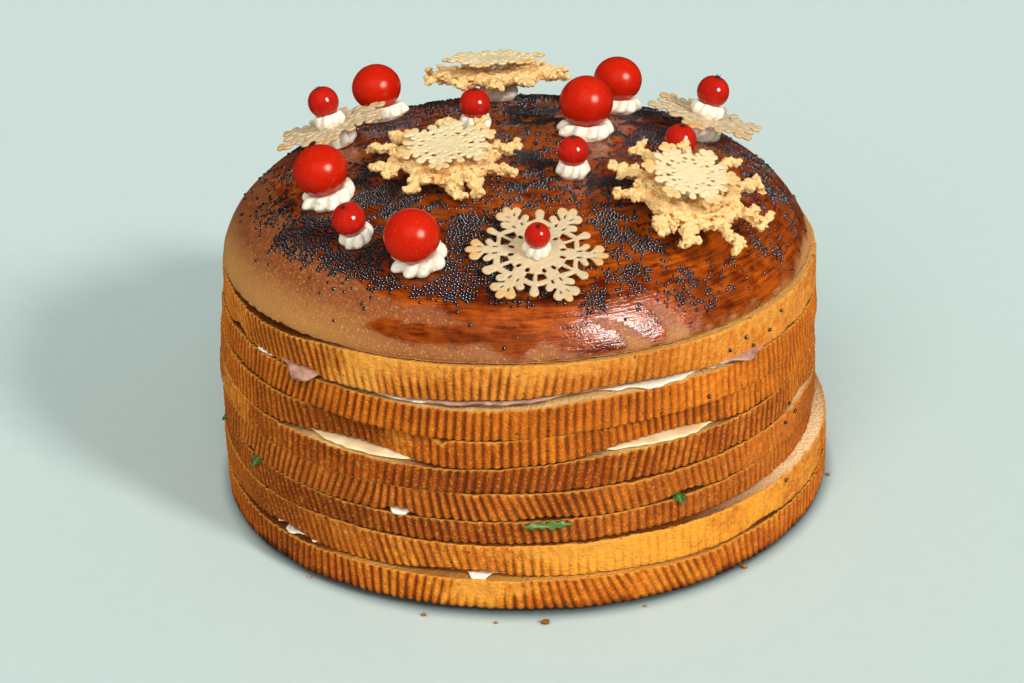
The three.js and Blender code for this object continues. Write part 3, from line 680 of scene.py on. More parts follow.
def crustGlazed():
    # Egg-washed crust: a film like lacquer, brushed round the dome, pooled dark in hollows; matt where bare
    material, add, where = startMaterial("eggWashedCrust")
    wash, pool, cut, low = (add("Attribute", attribute_name=n).outputs["Fac"]
                            for n in ("wash", "pool", "cut", "low"))
    # brush strokes: 2 mm across and about 8 mm long, round the dome
    flat = add("VectorMath", [where, (1, 1, 0)], operation="MULTIPLY")
    out = add("VectorMath", [flat], operation="NORMALIZE")
    far = add("VectorMath", [flat], operation="LENGTH")
    fall = add("VectorMath", [where, (0, 0, -1)], operation="DOT_PRODUCT")
    along = add("Math", [far, fall], operation="ADD")
    rise = add("CombineXYZ", {2: along})
    swept = add("VectorMath", [out, (0.028, 0.028, 0), rise], operation="MULTIPLY_ADD")
    strokes = add("TexNoise", [swept, 1 / (2.2 * mm), 4, 0.65])
    # single bristles: 0.9 mm across and about 12 mm long
    drawn = add("VectorMath", [out, (0.008, 0.008, 0), rise], operation="MULTIPLY_ADD")
    bristle = add("TexNoise", [drawn, 1 / (0.9 * mm), 2, 0.6])
    cloud = add("TexNoise", [where, 1 / (19 * mm), 4, 0.6])
    patch = add("TexNoise", [where, 1 / (7 * mm), 4, 0.65])
    brushed = add("Math", [strokes, patch], operation="ADD")
    brushed = add("Math", [bristle, 0.6, brushed], operation="MULTIPLY_ADD")
    sand = add("TexNoise", [where, 1 / (0.8 * mm), 2, 0.6])
    # bare crust, freckled with paler dots of about half a millimetre, golden towards the rim
    speckle = add("TexNoise", [where, 1 / (3.2 * mm), 4, 0.75])
    blotch = add("MapRange", [speckle, 0.3, 0.7])
    tan = add("Mix", [blotch, "#72330d", "#964d15"], data_type="RGBA")
    warm = add("Mix", [low, tan, "#c08440"], data_type="RGBA")
    dot = add("MapRange", [sand, 0.57, 0.7, 0, 0.6])
    bare = add("Mix", [dot, warm, "#cf944e"], data_type="RGBA")
    # washed crust: strokes of orange brown over red brown, then dark pools and painted shade
    stroke = add("MapRange", [brushed, 1.06, 1.56])
    film = add("Mix", [stroke, "#541602", "#b85206"], data_type="RGBA")
    shade = add("MapRange", [cloud, 0.45, 0.75, 0, 0.45])
    shaded = add("Mix", [shade, film, "#5c1a02"], data_type="RGBA")
    pooled = add("Mix", [pool, shaded, "#480d01"], data_type="RGBA")
    # border of the wash, drawn out along the strokes
    border = add("Math", [strokes, 1, wash], operation="MULTIPLY_ADD")
    mask = add("MapRange", [border, 0.8, 1.12])
    crust = add("Mix", [mask, bare, pooled], data_type="RGBA")
    edge = add("MapRange", [cut, 0.3, 0.9, 0, 0.85])
    final = add("Mix", [edge, crust, "#b06a24"], data_type="RGBA")
    gloss = add("MapRange", [mask, 0, 1, 0.6, 0.06])
    uneven = add("Math", [patch, 0.22, gloss], operation="MULTIPLY_ADD")
    # sandy where bare, combed by the brush and finely wrinkled where washed
    wrinkled = add("Math", [sand, 0.5, brushed], operation="MULTIPLY_ADD")
    comb = add("Mix", [mask, sand, wrinkled], data_type="FLOAT")
    bump = add("Bump", {"Height": comb, "Strength": 0.8, "Distance": 0.26 * mm})
    return endMaterial(material, add, {
        "Base Color": final, "Roughness": uneven, "Normal": bump, "IOR": 1.45, "Specular IOR Level": 0.8,
        "Specular Tint": "#fff8f2"})


def makeCap():
    count = dome["spokes"]
    angles = allRound(count)
    rim, middles = readSpokes("bread_cap", dome["rimBelow"], dome["rimBeyond"])
    rimR, rimZ = (aroundLoaf(rim[0][:, k], angles) for k in (0, 1))
    # even steps along the dome's section, from just above the rim to the top
    share = np.linspace(0.985, 0.004, 4000)
    section = np.stack([share * dome["radius"], domeHeight(share * dome["radius"], 0 * share)], -1)
    length = np.append(0, np.cumsum(np.hypot(*np.diff(section, axis=0).T)))
    steps = np.linspace(0, length[-1], int(length[-1] / dome["rowStep"]))
    rowR = np.interp(steps, length, section[:, 0])
    rowZ = np.interp(steps, length, section[:, 1])
    rimSteps = (0, 0.08, 0.25, 0.5, 0.75)  # from the cut edge up to the dome
    rings = [onSpokes(angles, rimR + (rowR[0] - rimR) * t ** 1.6, rimZ + (rowZ[0] - rimZ) * t) for t in rimSteps]
    rings += [onSpokes(angles, r, z) for r, z in zip(rowR, rowZ)]
    rings = np.array(rings)
    # slack skin: soft dents, always inwards, and a torn rim
    normal = domeNormal(rings[..., 0], rings[..., 1])
    drawn = rings * np.array([0.5, 1, 1])  # strokes run across the view
    dent = 0.30 * (1 + rough(rings, 26, 1)) + 0.24 * (1 + rough(drawn, 8, 2)) + 0.07 * (1 + rough(drawn, 3, 3))
    radial = np.stack([np.cos(angles), np.sin(angles), 0 * angles], -1)
    normal[:len(rimSteps)] = radial
    rings -= normal * dent[..., None]
    for k, torn in enumerate((0.45, 0.2)):
        rings[k] -= radial * (torn * (0.8 + rough(rings[k], 1.6, 4) + rough(rings[k], 0.9, 5)))[:, None]
    lifted = 0.35 * np.clip(rough(rings[0], 2.2, 6), 0, 1) + 0.4 * np.clip(rough(rings[0], 7, 7), 0, 1)
    lifted *= 1 + 1.2 * humps(angles, [(-142, 32, 1)])
    for k, share in enumerate((1, 0.85, 0.5, 0.2)):
        rings[k, :, 2] += share * lifted
    under = cutFace(angles, (rimR - 0.4, rimZ), middles[0], -1, lifted, 9)
    allRings = np.concatenate([np.array(under[::-1]), rings])
    points, faces = lathe(allRings, (0, 0, middles[0]), (0, 0, dome["apex"] - 0.3))
    piece = makePiece("capCrust", points * mm, faces, [crustGlazed()])
    x, y, z = points.T
    share = np.hypot(x, y) / dome["radius"]
    direction = np.arctan2(y, x)
    ragged = 0.008 * rough(points, 9, 20) + 0.006 * rough(points, 2.6, 21)
    wash = easeStep(0.024, -0.03, share - byDirection(direction, dome["washEdge"]) + ragged)
    pool = 0.45 * easeStep(0.25, 0.85, rough(points, 13, 23) + 0.5 * rough(points, 5, 24))
    pool = np.maximum(pool, 0.6 * easeStep(0.1, 0.8, seedDrift(x, y) + 0.25 * rough(points, 4, 27))) * wash
    degrees = np.degrees(direction)
    along = points * (0.4, 1, 1)
    # dark runs of wash; the two under the front wafer are painted shade
    for middle, level, wide, tall, dark in dome["runs"]:
        far = np.hypot((degrees - middle) / wide, (share - level) / tall)
        run = easeStep(1.7, 0.2, far + 0.7 * rough(along, 5, 25) + 0.4 * rough(along, 2, 26))
        wash, pool = np.maximum(wash, 0.9 * run), np.maximum(pool, dark * run)
    for start, level, slope, wide in dome["gaps"]:
        off = np.abs(degrees - start - slope * (share - level) + 0.8 * rough(points, 5, 22)) / wide
        wash *= 1 - 0.55 * easeStep(1.2, 0.7, off) * easeStep(level - 0.012, level, share)
    # paler streaks where the brush ran dry, above the front edge
    dry = easeStep(0.016, 0.006, np.abs(share - 0.938)) * humps(direction, [(-95, 13, 1)])
    wash *= 1 - 0.2 * dry
    golden = byDirection(direction, dome["golden"])
    low = 0.95 * easeStep(0.95 - 0.04 * golden, 0.99, share) * (1 - wash) * golden
    cut = np.concatenate([np.full(len(under) * count, 1.2), np.repeat([0.7, 0.3, 0.1, 0.0], count),
                          np.zeros((len(rings) - 4) * count), [1.2, 0]])
    strewn = easeStep(0.014, -0.014, share - byDirection(direction, dome["seedEdge"]) + ragged)
    density = np.where(z > dome["seedsAbove"], seedDensity(x, y), 0) * np.maximum(strewn, 0.05)
    density[:len(under) * count] = 0
    paint(piece, wash=wash, pool=pool, low=low, cut=cut, seedDensity=density)
    settle(piece, "glazed_crust", "bread_cap")
    return piece


cap = makeCap()
print("cap made")


# Toppings: where each stands on the cap, as in the solids

tomatoes = {  # foot on the cap and radius, mm
    1: ((-47, 41), 8.9), 2: ((-60, -35), 8.9), 3: ((-30, -76), 8.8), 4: ((25, 8), 9.4), 5: ((37, 39), 8.7),
}
currants = {1: ((-13, 18), 5.6), 2: ((-50, -61), 5.5), 3: ((19, -30), 5.2), 4: ((54, -17), 5.5)}
stacks = {  # foot, lean as degrees and direction, then what is stacked
    1: {"at": (6, -78), "lean": (0, 0), "reach": 22, "turn": -4, "currant": 4.1},
    2: {"at": (-61, 14), "lean": (5, 170), "under": 5.6, "reach": 21.5, "turn": 30, "currant": 5.5},
    3: {"at": (64.5, 14.5), "lean": (4, 0), "under": 6.4, "reach": 21.5, "turn": 10, "currant": 5.7},
    4: {"at": (-22, -28.5), "lean": (7, -80), "under": 4, "puff": 26, "between": 1.8, "reach": 17, "turn": 22},
    5: {"at": (54, -50), "lean": (4, -100), "under": 4, "puff": 27.5, "between": 5, "slide": -2.5,
        "reach": 15.5, "turn": 0},
    6: {"at": (-5, 57), "lean": (0, 0), "under": 5.6, "puff": 29, "between": 2.8, "slide": -1,
        "reach": 19, "turn": 12},
}
# mm: air between stacked things and both wafers' thickness; how high fruit sits on its cream; how wide cream is
clearance, waferThickness, puffThickness = 0.3, 1.0, 4.4
tomatoSeat, currantSeat, starSpread, underRadius, betweenRadius = 2.2, 2.9, 1.3, 7, 5


def standOnCap(at, lean=(0, 0)):  # frame whose +Z leaves the crust, in mm
    x, y = (np.array(float(v)) for v in at)
    upright = Vector((0, 0, 1)).rotation_difference(Vector(domeNormal(x, y)))
    axis = math.radians(lean[1] + 90)
    leaned = Matrix.Rotation(math.radians(lean[0]), 4, Vector((math.cos(axis), math.sin(axis), 0)))
    place = Matrix.Translation((float(x), float(y), float(domeHeight(x, y))))
    return place @ leaned @ upright.to_matrix().to_4x4()


def placed(points, holder):  # from a holder's mm to the row frame in metres
    m = np.array(holder)
    return (np.asarray(points) @ m[:3, :3].T + m[:3, 3]) * mm


def tomatoSkin():
    # Ripe cherry tomato: a taut waxy skin, orange flesh glowing through it
    material, add, where = startMaterial("cherryTomatoSkin")
    blush = add("TexNoise", [where, 1 / (9 * mm), 2])
    fleck = add("TexNoise", [where, 1 / (0.9 * mm), 1])
    red = add("Mix", [blush, "#a80f02", "#cb2206"], data_type="RGBA")
    dot = add("MapRange", [fleck, 0.62, 0.72, 0, 0.18])
    skin = add("Mix", [dot, red, "#e8602a"], data_type="RGBA")
    wax = add("MapRange", [blush, 0.3, 0.7, 0.22, 0.28])
    return endMaterial(material, add, {
        "Base Color": skin, "Roughness": wax, "IOR": 1.45, "Specular IOR Level": 0.46,
        "Specular Tint": "#ffd8c0", "Subsurface Weight": 0.05, "Subsurface Radius": (1.0, 0.25, 0.1),
        "Subsurface Scale": 2.5 * mm})


def currantSkin():
    # Redcurrant: a thin clear skin over juicy flesh, with pale veins from end to end
    material, add, where = startMaterial("redcurrantSkin")
    vein = add("Attribute", attribute_name="vein").outputs["Fac"]
    cloud = add("TexNoise", [where, 1 / (4.5 * mm), 2])
    flesh = add("Mix", [cloud, "#960f0a", "#c42313"], data_type="RGBA")
    line = add("MapRange", [vein, 0.55, 1, 0, 0.14])
    skin = add("Mix", [line, flesh, "#dc4a34"], data_type="RGBA")
    return endMaterial(material, add, {
        "Base Color": skin, "IOR": 1.42, "Roughness": 0.1, "Subsurface Weight": 0.12,
        "Subsurface Radius": (1.0, 0.15, 0.1), "Subsurface Scale": 2 * mm})


def flowerTuft():
    # Dry flower left on the berry: brown-black, fibrous
    material, add, where = startMaterial("driedFlower")
    fibre = add("TexNoise", [where, 1 / (0.5 * mm), 2])
    brown = add("Mix", [fibre, "#140a06", "#4a2a18"], data_type="RGBA")
    return endMaterial(material, add, {"Base Color": brown, "Roughness": 0.9})


def pipedCream():
    # Soft cheese cream, piped: smooth, faintly grainy, light passes through its thin lobes
    material, add, where = startMaterial("pipedCheeseCream")
    grain = add("TexNoise", [where, 1 / (1.2 * mm), 3])
    soft = add("Mix", [grain, "#e2d4bb", "#efe5d2"], data_type="RGBA")
    wet = add("MapRange", [grain, 0, 1, 0.38, 0.55])
    bump = add("Bump", {"Height": grain, "Strength": 0.25, "Distance": 0.15 * mm})
    return endMaterial(material, add, {
        "Base Color": soft, "Roughness": wet, "Normal": bump, "IOR": 1.4, "Subsurface Weight": 0.25,
        "Subsurface Radius": (1.0, 0.7, 0.45), "Subsurface Scale": 1.2 * mm})


tomatoRed, currantRed, tuftBrown, creamWhite = tomatoSkin(), currantSkin(), flowerTuft(), pipedCream()
stars = []
seedless = []  # ground that cream covers: x, y, radius


def fruit(centre, radius, tall, around, rows):  # points from its middle, and faces
    angles = allRound(around)
    rise = np.linspace(-0.5, 0.5, rows)[1:-1] * np.pi
    rings = np.array([onSpokes(angles, radius * np.cos(a), centre + tall * np.sin(a)) for a in rise])
    points, faces = lathe(rings, (0, 0, centre - tall), (0, 0, centre + tall))
    return points - (0, 0, centre), faces


def makeTomato(number, at, radius):
    holder = standOnCap(at)
    centre = tomatoSeat + radius
    fromCentre, faces = fruit(centre, radius, 0.95 * radius, around=72, rows=41)
    points = (0, 0, centre) + fromCentre * (1 - 0.012 * (1 + rough(fromCentre, 7, 60 + number)))[:, None]
    piece = makePiece(f"tomato{number}", placed(points, holder), faces, [tomatoRed])
    settle(piece, "tomato", f"tomato_{number}")
    makeStar(holder, clearance, radius + starSpread, ball=(radius, centre), ground=at)


def makeCurrant(number, holder, foot, radius, ground=None):
    centre = foot + currantSeat - clearance + radius
    fromCentre, faces = fruit(centre, radius, radius, around=60, rows=33)
    up = fromCentre[:, 2] / radius
    points = (0, 0, centre) + fromCentre * (1 - 0.02 * (1 + rough(fromCentre, 5, 80 + number))
                                            - 0.09 * easeStep(0.93, 1, up))[:, None]
    vein = np.abs(np.cos(6 * np.arctan2(fromCentre[:, 1], fromCentre[:, 0]))) ** 8
    vein *= easeStep(1, 0.6, np.abs(up))
    # ragged sepals round a stub
    seeded = np.random.default_rng(number)
    extra, extraFaces = [], []
    top = centre + 0.95 * radius
    sepals = 5
    for k in range(sepals):
        turn = 2 * np.pi * (k + 0.3 * seeded.random()) / sepals
        long, wide = 0.6 + 0.5 * seeded.random(), 0.5
        out = np.array([np.cos(turn), np.sin(turn), 0])
        across = np.array([-out[1], out[0], 0])
        tip = (0, 0, top) + out * long * 0.75 + np.array([0, 0, long])
        base = [np.array([0, 0, top - 0.5]) + out * 0.25 + across * s for s in (-wide, wide)]
        back = np.array([0, 0, top - 0.5]) + out * 0.75
        start = len(points) + len(extra)
        extra += [base[0], base[1], back, tip]
        extraFaces += [[start, start + 1, start + 3], [start + 1, start + 2, start + 3],
                       [start + 2, start, start + 3], [start, start + 2, start + 1]]
    sphereFaces = len(faces)
    allPoints = np.concatenate([points, np.array(extra)])
    piece = makePiece(f"redcurrant{number}", placed(allPoints, holder), faces + extraFaces,
                      [currantRed, tuftBrown])
    for polygon in piece.data.polygons[sphereFaces:]:
        polygon.material_index = 1
        polygon.use_smooth = False
    paint(piece, vein=np.append(vein, np.zeros(len(extra))))
    settle(piece, "currant", f"redcurrant_{number}")
    makeStar(holder, foot, radius + starSpread, ball=(radius, centre), ground=ground)


def curveThrough(values, count):  # smooth open curve through these rows
    values = np.asarray(values, float)
    place = np.linspace(0, len(values) - 1, count)
    i = np.minimum(place.astype(int), len(values) - 2)
    t = (place - i)[:, None]
    return betweenRows([values[np.clip(i + k, 0, len(values) - 1)] for k in (-1, 0, 1, 2)], t)


# a piped rosette, lobed and a little twisted
def makeStar(holder, foot, radius, top=None, ball=None, ground=None, slide=0.0):
    number = len(stars) + 1
    lobes = 9 if radius > 9 else 8
    spin = 0.7 * number
    angles = allRound(16 * lobes)
    if ball:
        ballRadius, centre = ball
        lip = 0.66 * ballRadius
        lipHeight = centre - math.sqrt(ballRadius ** 2 - lip ** 2)
        dish = centre - ballRadius - 0.05
        radius = 0.5 * (radius + ballRadius) - 0.3
    else:
        lip, lipHeight, dish = 0.62 * radius, top, top
    tall = max(lipHeight - foot, 1.2)
    sunk = 0.9  # mm below its foot, out of sight
    # share of the radius, share of the height and how lobed, from the foot round the belly to the lip
    section = [(0.78, -sunk / tall, 0.5), (0.90, 0.0, 0.8), (0.98, 0.14, 1.0), (1.0, 0.32, 1.0),
               (0.97, 0.52, 1.0), (0.91, 0.74, 1.0), (0.84, 0.93, 0.9), (0.75, 1.02, 0.7),
               (lip / radius - 0.04, 0.98, 0.3)]
    rings = []
    for out, up, lobed in curveThrough(section, 30):
        wave = np.abs(np.cos(lobes / 2 * (angles - spin - 0.2 * up)))  # round lobes, sharp grooves
        reach = radius * out * (1 - 0.26 * lobed * (1 - wave ** 0.75))
        rings.append(onSpokes(angles, reach, foot + tall * up + 0.5 * lobed * (wave - 0.6) * max(0, up)))
    rings = np.array(rings)
    swell = 0.09 * rough(rings * (1, 1, 0.3), 4.2, 100 + number) + 0.035 * rough(rings, 1.6, 130 + number)
    up = (rings[..., 2] - foot) / tall
    rings[..., :2] *= (1 + swell * easeStep(0, 0.3, up + 0.15))[..., None]
    rings[..., 2] += 0.3 * rough(rings * (1, 1, 0), 3.5, 160 + number) * easeStep(0.3, 0.9, up)
    points, faces = lathe(rings, (0, 0, foot - sunk), (0, 0, dish))
    points[:, 0] += slide
    piece = makePiece(f"creamStar{number}", placed(points, holder), faces, [creamWhite])
    settle(piece, "cream", f"cream_star_{number}")
    stars.append(piece)
    if ground:
        seedless.append((*ground, radius))


for number, (at, radius) in tomatoes.items():
    makeTomato(number, at, radius)
for number, (at, radius) in currants.items():
    makeCurrant(number, standOnCap(at), clearance, radius, at)
print("tomatoes and currants made")


# Cheese wafers: thin snowflakes and puffed ones

flake = {
    "cell": 0.30,  # mm, of the drawing grid
    "round": 0.55,  # mm, of the edges
    "margin": 1.08,  # of the drawing grid, in reaches
    # half a sixth, folded about a long arm: start, end and half widths, in shares of the reach
    "strokes": [
        ((0.0, 0.0), (0.02, 0.0), 0.40, 0.40), ((0.40, 0.0), (0.60, 0.0), 0.105, 0.085),
        ((0.60, 0.0), (0.76, 0.0), 0.070, 0.055), ((0.59, 0.05), (0.68, 0.165), 0.052, 0.046),
        ((0.80, 0.0), (0.955, 0.0), 0.066, 0.048), ((0.77, 0.02), (0.865, 0.125), 0.050, 0.062),
        ((0.55, 0.08), (0.543, 0.314), 0.034, 0.036), ((0.33, 0.19), (0.543, 0.314), 0.024, 0.024),
        ((0.543, 0.314), (0.662, 0.382), 0.036, 0.064),
    ],
    # holes beside an arm's spine, slits further out and between the petals of its tip
    "slits": [((0.345, 0.070), (0.375, 0.078), 0.030), ((0.565, 0.057), (0.615, 0.068), 0.016),
              ((0.785, 0.044), (0.835, 0.060), 0.013)],
}


def fromLine(u, v, start, end):  # how far from a line, and how far along it
    (ax, ay), (bx, by) = start, end
    dx, dy = bx - ax, by - ay
    t = np.clip(((u - ax) * dx + (v - ay) * dy) / (dx * dx + dy * dy), 0, 1)
    return np.hypot(u - ax - t * dx, v - ay - t * dy), t


def flakeField(x, y, reach, melted, seed):  # distance outside the strokes, run together by melting, mm
    radius = np.hypot(x, y)
    angle = np.arctan2(y, x)
    sixth = np.pi / 3
    fold = np.abs((angle + sixth / 2) % sixth - sixth / 2)
    u, v = radius * np.cos(fold) / reach, radius * np.sin(fold) / reach
    best = np.full_like(x, 9.0)
    for start, end, wa, wb in flake["strokes"]:
        apart, t = fromLine(u, v, start, end)
        best = np.minimum(best, apart - (wa + (wb - wa) * t))
    flat = np.stack([x, y, 0 * x], -1)
    best = best * reach + 0.2 * rough(flat, 2.1, seed) + 0.25 * rough(flat, 6.5, seed + 1) - melted
    for start, end, wide in flake["slits"]:
        hole = wide - fromLine(u, v, start, end)[0]
        best = np.maximum(best, hole * reach + 0.08 * rough(flat, 3.1, seed + 8) - 0.4 * melted)
    return best


# outline of a field below 0 on a grid: points, polygons and how many points lie inside the rim
def drawnSheet(field, span, cell):
    ticks = np.arange(-span, span + cell, cell)
    x, y = np.meshgrid(ticks, ticks)
    value = field(x, y)
    inside = value < 0
    nodes = -np.ones(value.shape, int)
    nodes[inside] = np.arange(inside.sum())
    points = [np.stack([x[inside], y[inside]], -1)]
    total = int(inside.sum())
    crossings = []
    upTo, rest, whole = slice(None, -1), slice(1, None), slice(None)
    downwards, sideways = ((upTo, whole), (rest, whole), (0, cell)), ((whole, upTo), (whole, rest), (cell, 0))
    for here, there, step in (downwards, sideways):
        a, b = value[here], value[there]
        cross = (a < 0) != (b < 0)
        ids = -np.ones(a.shape, int)
        ids[cross] = total + np.arange(cross.sum())
        t = (a / np.where(cross, a - b, 1))[cross]
        points.append(np.stack([x[here][cross], y[here][cross]], -1) + t[:, None] * np.array(step))
        total += int(cross.sum())
        crossings.append(ids)
    down, across = crossings
    touched = inside[:-1, :-1] | inside[:-1, 1:] | inside[1:, 1:] | inside[1:, :-1]
    polygons = []
    for j, i in zip(*np.nonzero(touched)):
        ring = (nodes[j, i], across[j, i], nodes[j, i + 1], down[j, i + 1],
                nodes[j + 1, i + 1], across[j + 1, i], nodes[j + 1, i], down[j, i])
        polygon = [int(k) for k in ring if k >= 0]
        if len(polygon) > 2:
            polygons.append(polygon)
    return np.concatenate(points), polygons, int(inside.sum())


def bakedCheese(name, pale, gold, brown, through):
    # Grated hard cheese, baked to a lace: dry, oily in places, pitted by bubbles, gold where thin or far out;
    # in a puff's hollows and underside the gold is painted shade
    material, add, where = startMaterial(name)
    toast = add("Attribute", attribute_name="toast").outputs["Fac"]
    cloud = add("TexNoise", [where, 1 / (4.5 * mm), 3])
    bubbles = add("TexVoronoi", [where, 1 / (1.1 * mm)])
    grain = add("TexNoise", [where, 1 / (0.6 * mm), 3])
    warm = add("Math", [cloud, 0.9, -0.45], operation="MULTIPLY_ADD")
    share = add("Math", [warm, toast], operation="ADD", use_clamp=True)
    base = add("Mix", [share, pale, gold], data_type="RGBA")
    pit = add("MapRange", [bubbles, 0.22, 0.02, 0, 0.45])
    final = add("Mix", [pit, base, brown], data_type="RGBA")
    oil = add("MapRange", [cloud, 0.3, 0.7, 0.42, 0.7])
    height = add("Math", [bubbles, grain], operation="ADD")
    bump = add("Bump", {"Height": height, "Strength": 0.5, "Distance": 0.3 * mm})
    return endMaterial(material, add, {
        "Base Color": final, "Roughness": oil, "Normal": bump, "IOR": 1.45, "Subsurface Weight": through,
        "Subsurface Radius": (1.0, 0.7, 0.35), "Subsurface Scale": 1.0 * mm, "Specular IOR Level": 0.35})


thinCheese = bakedCheese("bakedCheeseThin", "#c5ae88", "#cf9d59", "#9c764a", 0.12)
# a paler copy for the wafers that lie on puffs: painted light, as if lit through from the puff below
thinCheesePaintedLit = bakedCheese("bakedCheeseThinPaintedLight", "#dcc89b", "#d9a860", "#b08a56", 0.12)
puffedCheese = bakedCheese("bakedCheesePuffed", "#e6be7e", "#cc7c24", "#a4602a", 0.1)


def makeThinWafer(number, holder, height, reach, turn, slide, melted, cheese):
    seed = 200 + 10 * number

    def field(x, y):
        return flakeField(x, y, reach, melted, seed)

    flat, polygons, inner = drawnSheet(field, reach * flake["margin"], flake["cell"])
    depth = np.clip(-field(flat[:, 0], flat[:, 1]), 0, None)
    thick = waferThickness / 2 * np.sqrt(1 - (1 - np.clip(depth / flake["round"], 0, 1)) ** 2)
    spot = np.stack([flat[:, 0], flat[:, 1], 0 * depth], -1)
    wave = 0.45 * rough(spot, 13, seed + 2) + 0.12 * rough(spot, 2.2, seed + 3)
    wave += 0.5 * (np.hypot(*flat.T) / reach) ** 2 * rough(spot, 17, seed + 4)
    middle = height + waferThickness / 2
    upper = np.stack([flat[:, 0], flat[:, 1], middle + wave + thick + 0.06 * rough(spot, 0.9, seed + 5)], -1)
    lower = np.stack([flat[:, 0], flat[:, 1], middle + wave - thick], -1)[:inner]
    upper[inner:, 2] = middle + wave[inner:]
    points = np.concatenate([upper, lower])
    total = len(upper)
    under = [[k + total if k < inner else k for k in reversed(p)] for p in polygons]
    angle = math.radians(turn)
    spin = np.array([[math.cos(angle), -math.sin(angle)], [math.sin(angle), math.cos(angle)]])
    share = np.hypot(*flat.T) / reach
    points[:, :2] = points[:, :2] @ spin.T + (slide, 0)
    piece = makePiece(f"thinWafer{number}", placed(points, holder), polygons + under, [cheese])
    toast = easeStep(0.72, 0.98, share + 0.12 * rough(spot, 6, seed + 6)) * 0.75
    toast += 0.15 * rough(spot, 9, seed + 7)
    paint(piece, toast=np.concatenate([toast, toast[:inner]]))
    settle(piece, "wafer", f"thin_wafer_{number}")


puffing = {  # mm
    "voxel": 0.33, "arms": 10, "armRadius": 2.0, "lumps": 4.0, "pits": 5.0,
    "margin": 1.12,  # round the body, in reaches
    "halfHeight": 4.2,
    "flattened": 0.62,  # how far it goes up and down, in thicknesses
}


def puffTree():  # a lumpy body round a skeleton of edges: distance less noise, cut at the surface
    tree, add, inp = startTree("puffedBody", {
        "Low": "Vector", "High": "Vector", "Resolution": "Vector", "Arm Radius": "Float", "Lump Height": "Float",
        "Pit Depth": "Float", "Seed Offset": "Vector", "Cheese": "Material"})
    near = add("GeometryNodeProximity", {0: inp["Geometry"]}, target_element="EDGES")
    position = add("GeometryNodeInputPosition")
    shifted = add("VectorMath", [position, inp["Seed Offset"]], operation="ADD")
    lumps = add("TexNoise", [shifted, 0.8, 5, 0.85])
    centred = add("Math", [lumps, 0.5], operation="SUBTRACT")
    swell = add("Math", [centred, inp["Lump Height"]], operation="MULTIPLY")
    # arms thin out from the middle
    flat = add("VectorMath", [position, (1, 1, 0)], operation="MULTIPLY")
    far = add("VectorMath", [flat], operation="LENGTH")
    thin = add("MapRange", [far, 10, 27, 1.1, 0.6])
    arm = add("Math", [inp["Arm Radius"], thin], operation="MULTIPLY")
    body = add("Math", [arm, near.outputs["Distance"]], operation="SUBTRACT")
    swollen = add("Math", [body, swell], operation="ADD")
    # burst bubbles of about 2 mm
    bubbles = add("TexVoronoi", [shifted, 0.34])
    burst = add("Math", [0.44, bubbles], operation="SUBTRACT", use_clamp=True)
    pit = add("Math", [burst, inp["Pit Depth"]], operation="MULTIPLY")
    total = add("Math", [swollen, pit], operation="SUBTRACT")
    share = add("Math", [total, 0.4, 0.5], operation="MULTIPLY_ADD", use_clamp=True)
    parts = add("SeparateXYZ", {0: inp["Resolution"]})
    cube = add("GeometryNodeVolumeCube", {
        "Density": share, "Min": inp["Low"], "Max": inp["High"], "Resolution X": parts.outputs[0],
        "Resolution Y": parts.outputs[1], "Resolution Z": parts.outputs[2]})
    skin = add("GeometryNodeVolumeToMesh", {"Volume": cube, "Threshold": 0.5})
    shaded = add("GeometryNodeSetShadeSmooth", {"Geometry": skin})
    endTree(add, shaded, inp["Cheese"])
    return tree


def puffSkeleton(reach, seed):  # arms, twigs and a web in the middle, mm, about mid thickness
    seeded = np.random.default_rng(seed)
    points, edges = [], []

    def line(path):
        first = len(points)
        points.extend(path)
        edges.extend((first + k, first + k + 1) for k in range(len(path) - 1))

    for arm in range(puffing["arms"]):
        heading = 2 * np.pi * (arm + 0.5 + 0.3 * (seeded.random() - 0.5)) / puffing["arms"]
        long = reach * (0.88 + 0.11 * seeded.random())
        bend = 0.3 * (seeded.random() - 0.5)
        path = []
        for k in range(9):
            r = 0.1 * reach + (long - 0.1 * reach) * k / 8
            turn = heading + bend * (k / 8) ** 2
            wobble = seeded.normal(0, 0.45, 3)
            path.append([r * math.cos(turn) + wobble[0], r * math.sin(turn) + wobble[1], 0.8 * wobble[2]])
        line(path)
        for k in (5, 6, 7, 8):  # ragged twigs to both sides
            for side in (-1, 1):
                if seeded.random() < 0.3:
                    continue
                turn = heading + side * math.radians(30 + 50 * seeded.random())
                base = np.array(path[k])
                size = 1.2 + 1.9 * seeded.random()
                tip = base + np.array([math.cos(turn), math.sin(turn), 0.5 * seeded.normal()]) * size
                line([base.tolist(), tip.tolist()])
    for ring, sides in ((0.12, 5), (0.24, 9), (0.36, 13), (0.46, 17), (0.54, 20)):
        turns = allRound(sides) + seeded.random()
        loop = [[ring * reach * math.cos(a), ring * reach * math.sin(a), 0.6 * seeded.normal()] for a in turns]
        line(loop + loop[:1])
    return points, edges


def keepLargest(piece):  # drops crumbs that hang free
    work = bmesh.new()
    work.from_mesh(piece.data)
    work.verts.ensure_lookup_table()
    seen = set()
    islands = []
    for vertex in work.verts:
        if vertex.index in seen:
            continue
        island, queue = [], [vertex]
        seen.add(vertex.index)
        while queue:
            v = queue.pop()
            island.append(v)
            for edge in v.link_edges:
                w = edge.other_vert(v)
                if w.index not in seen:
                    seen.add(w.index)
                    queue.append(w)
        islands.append(island)
    islands.sort(key=len)
    loose = [v for island in islands[:-1] for v in island]
    bmesh.ops.delete(work, geom=loose, context="VERTS")
    work.to_mesh(piece.data)
    work.free()


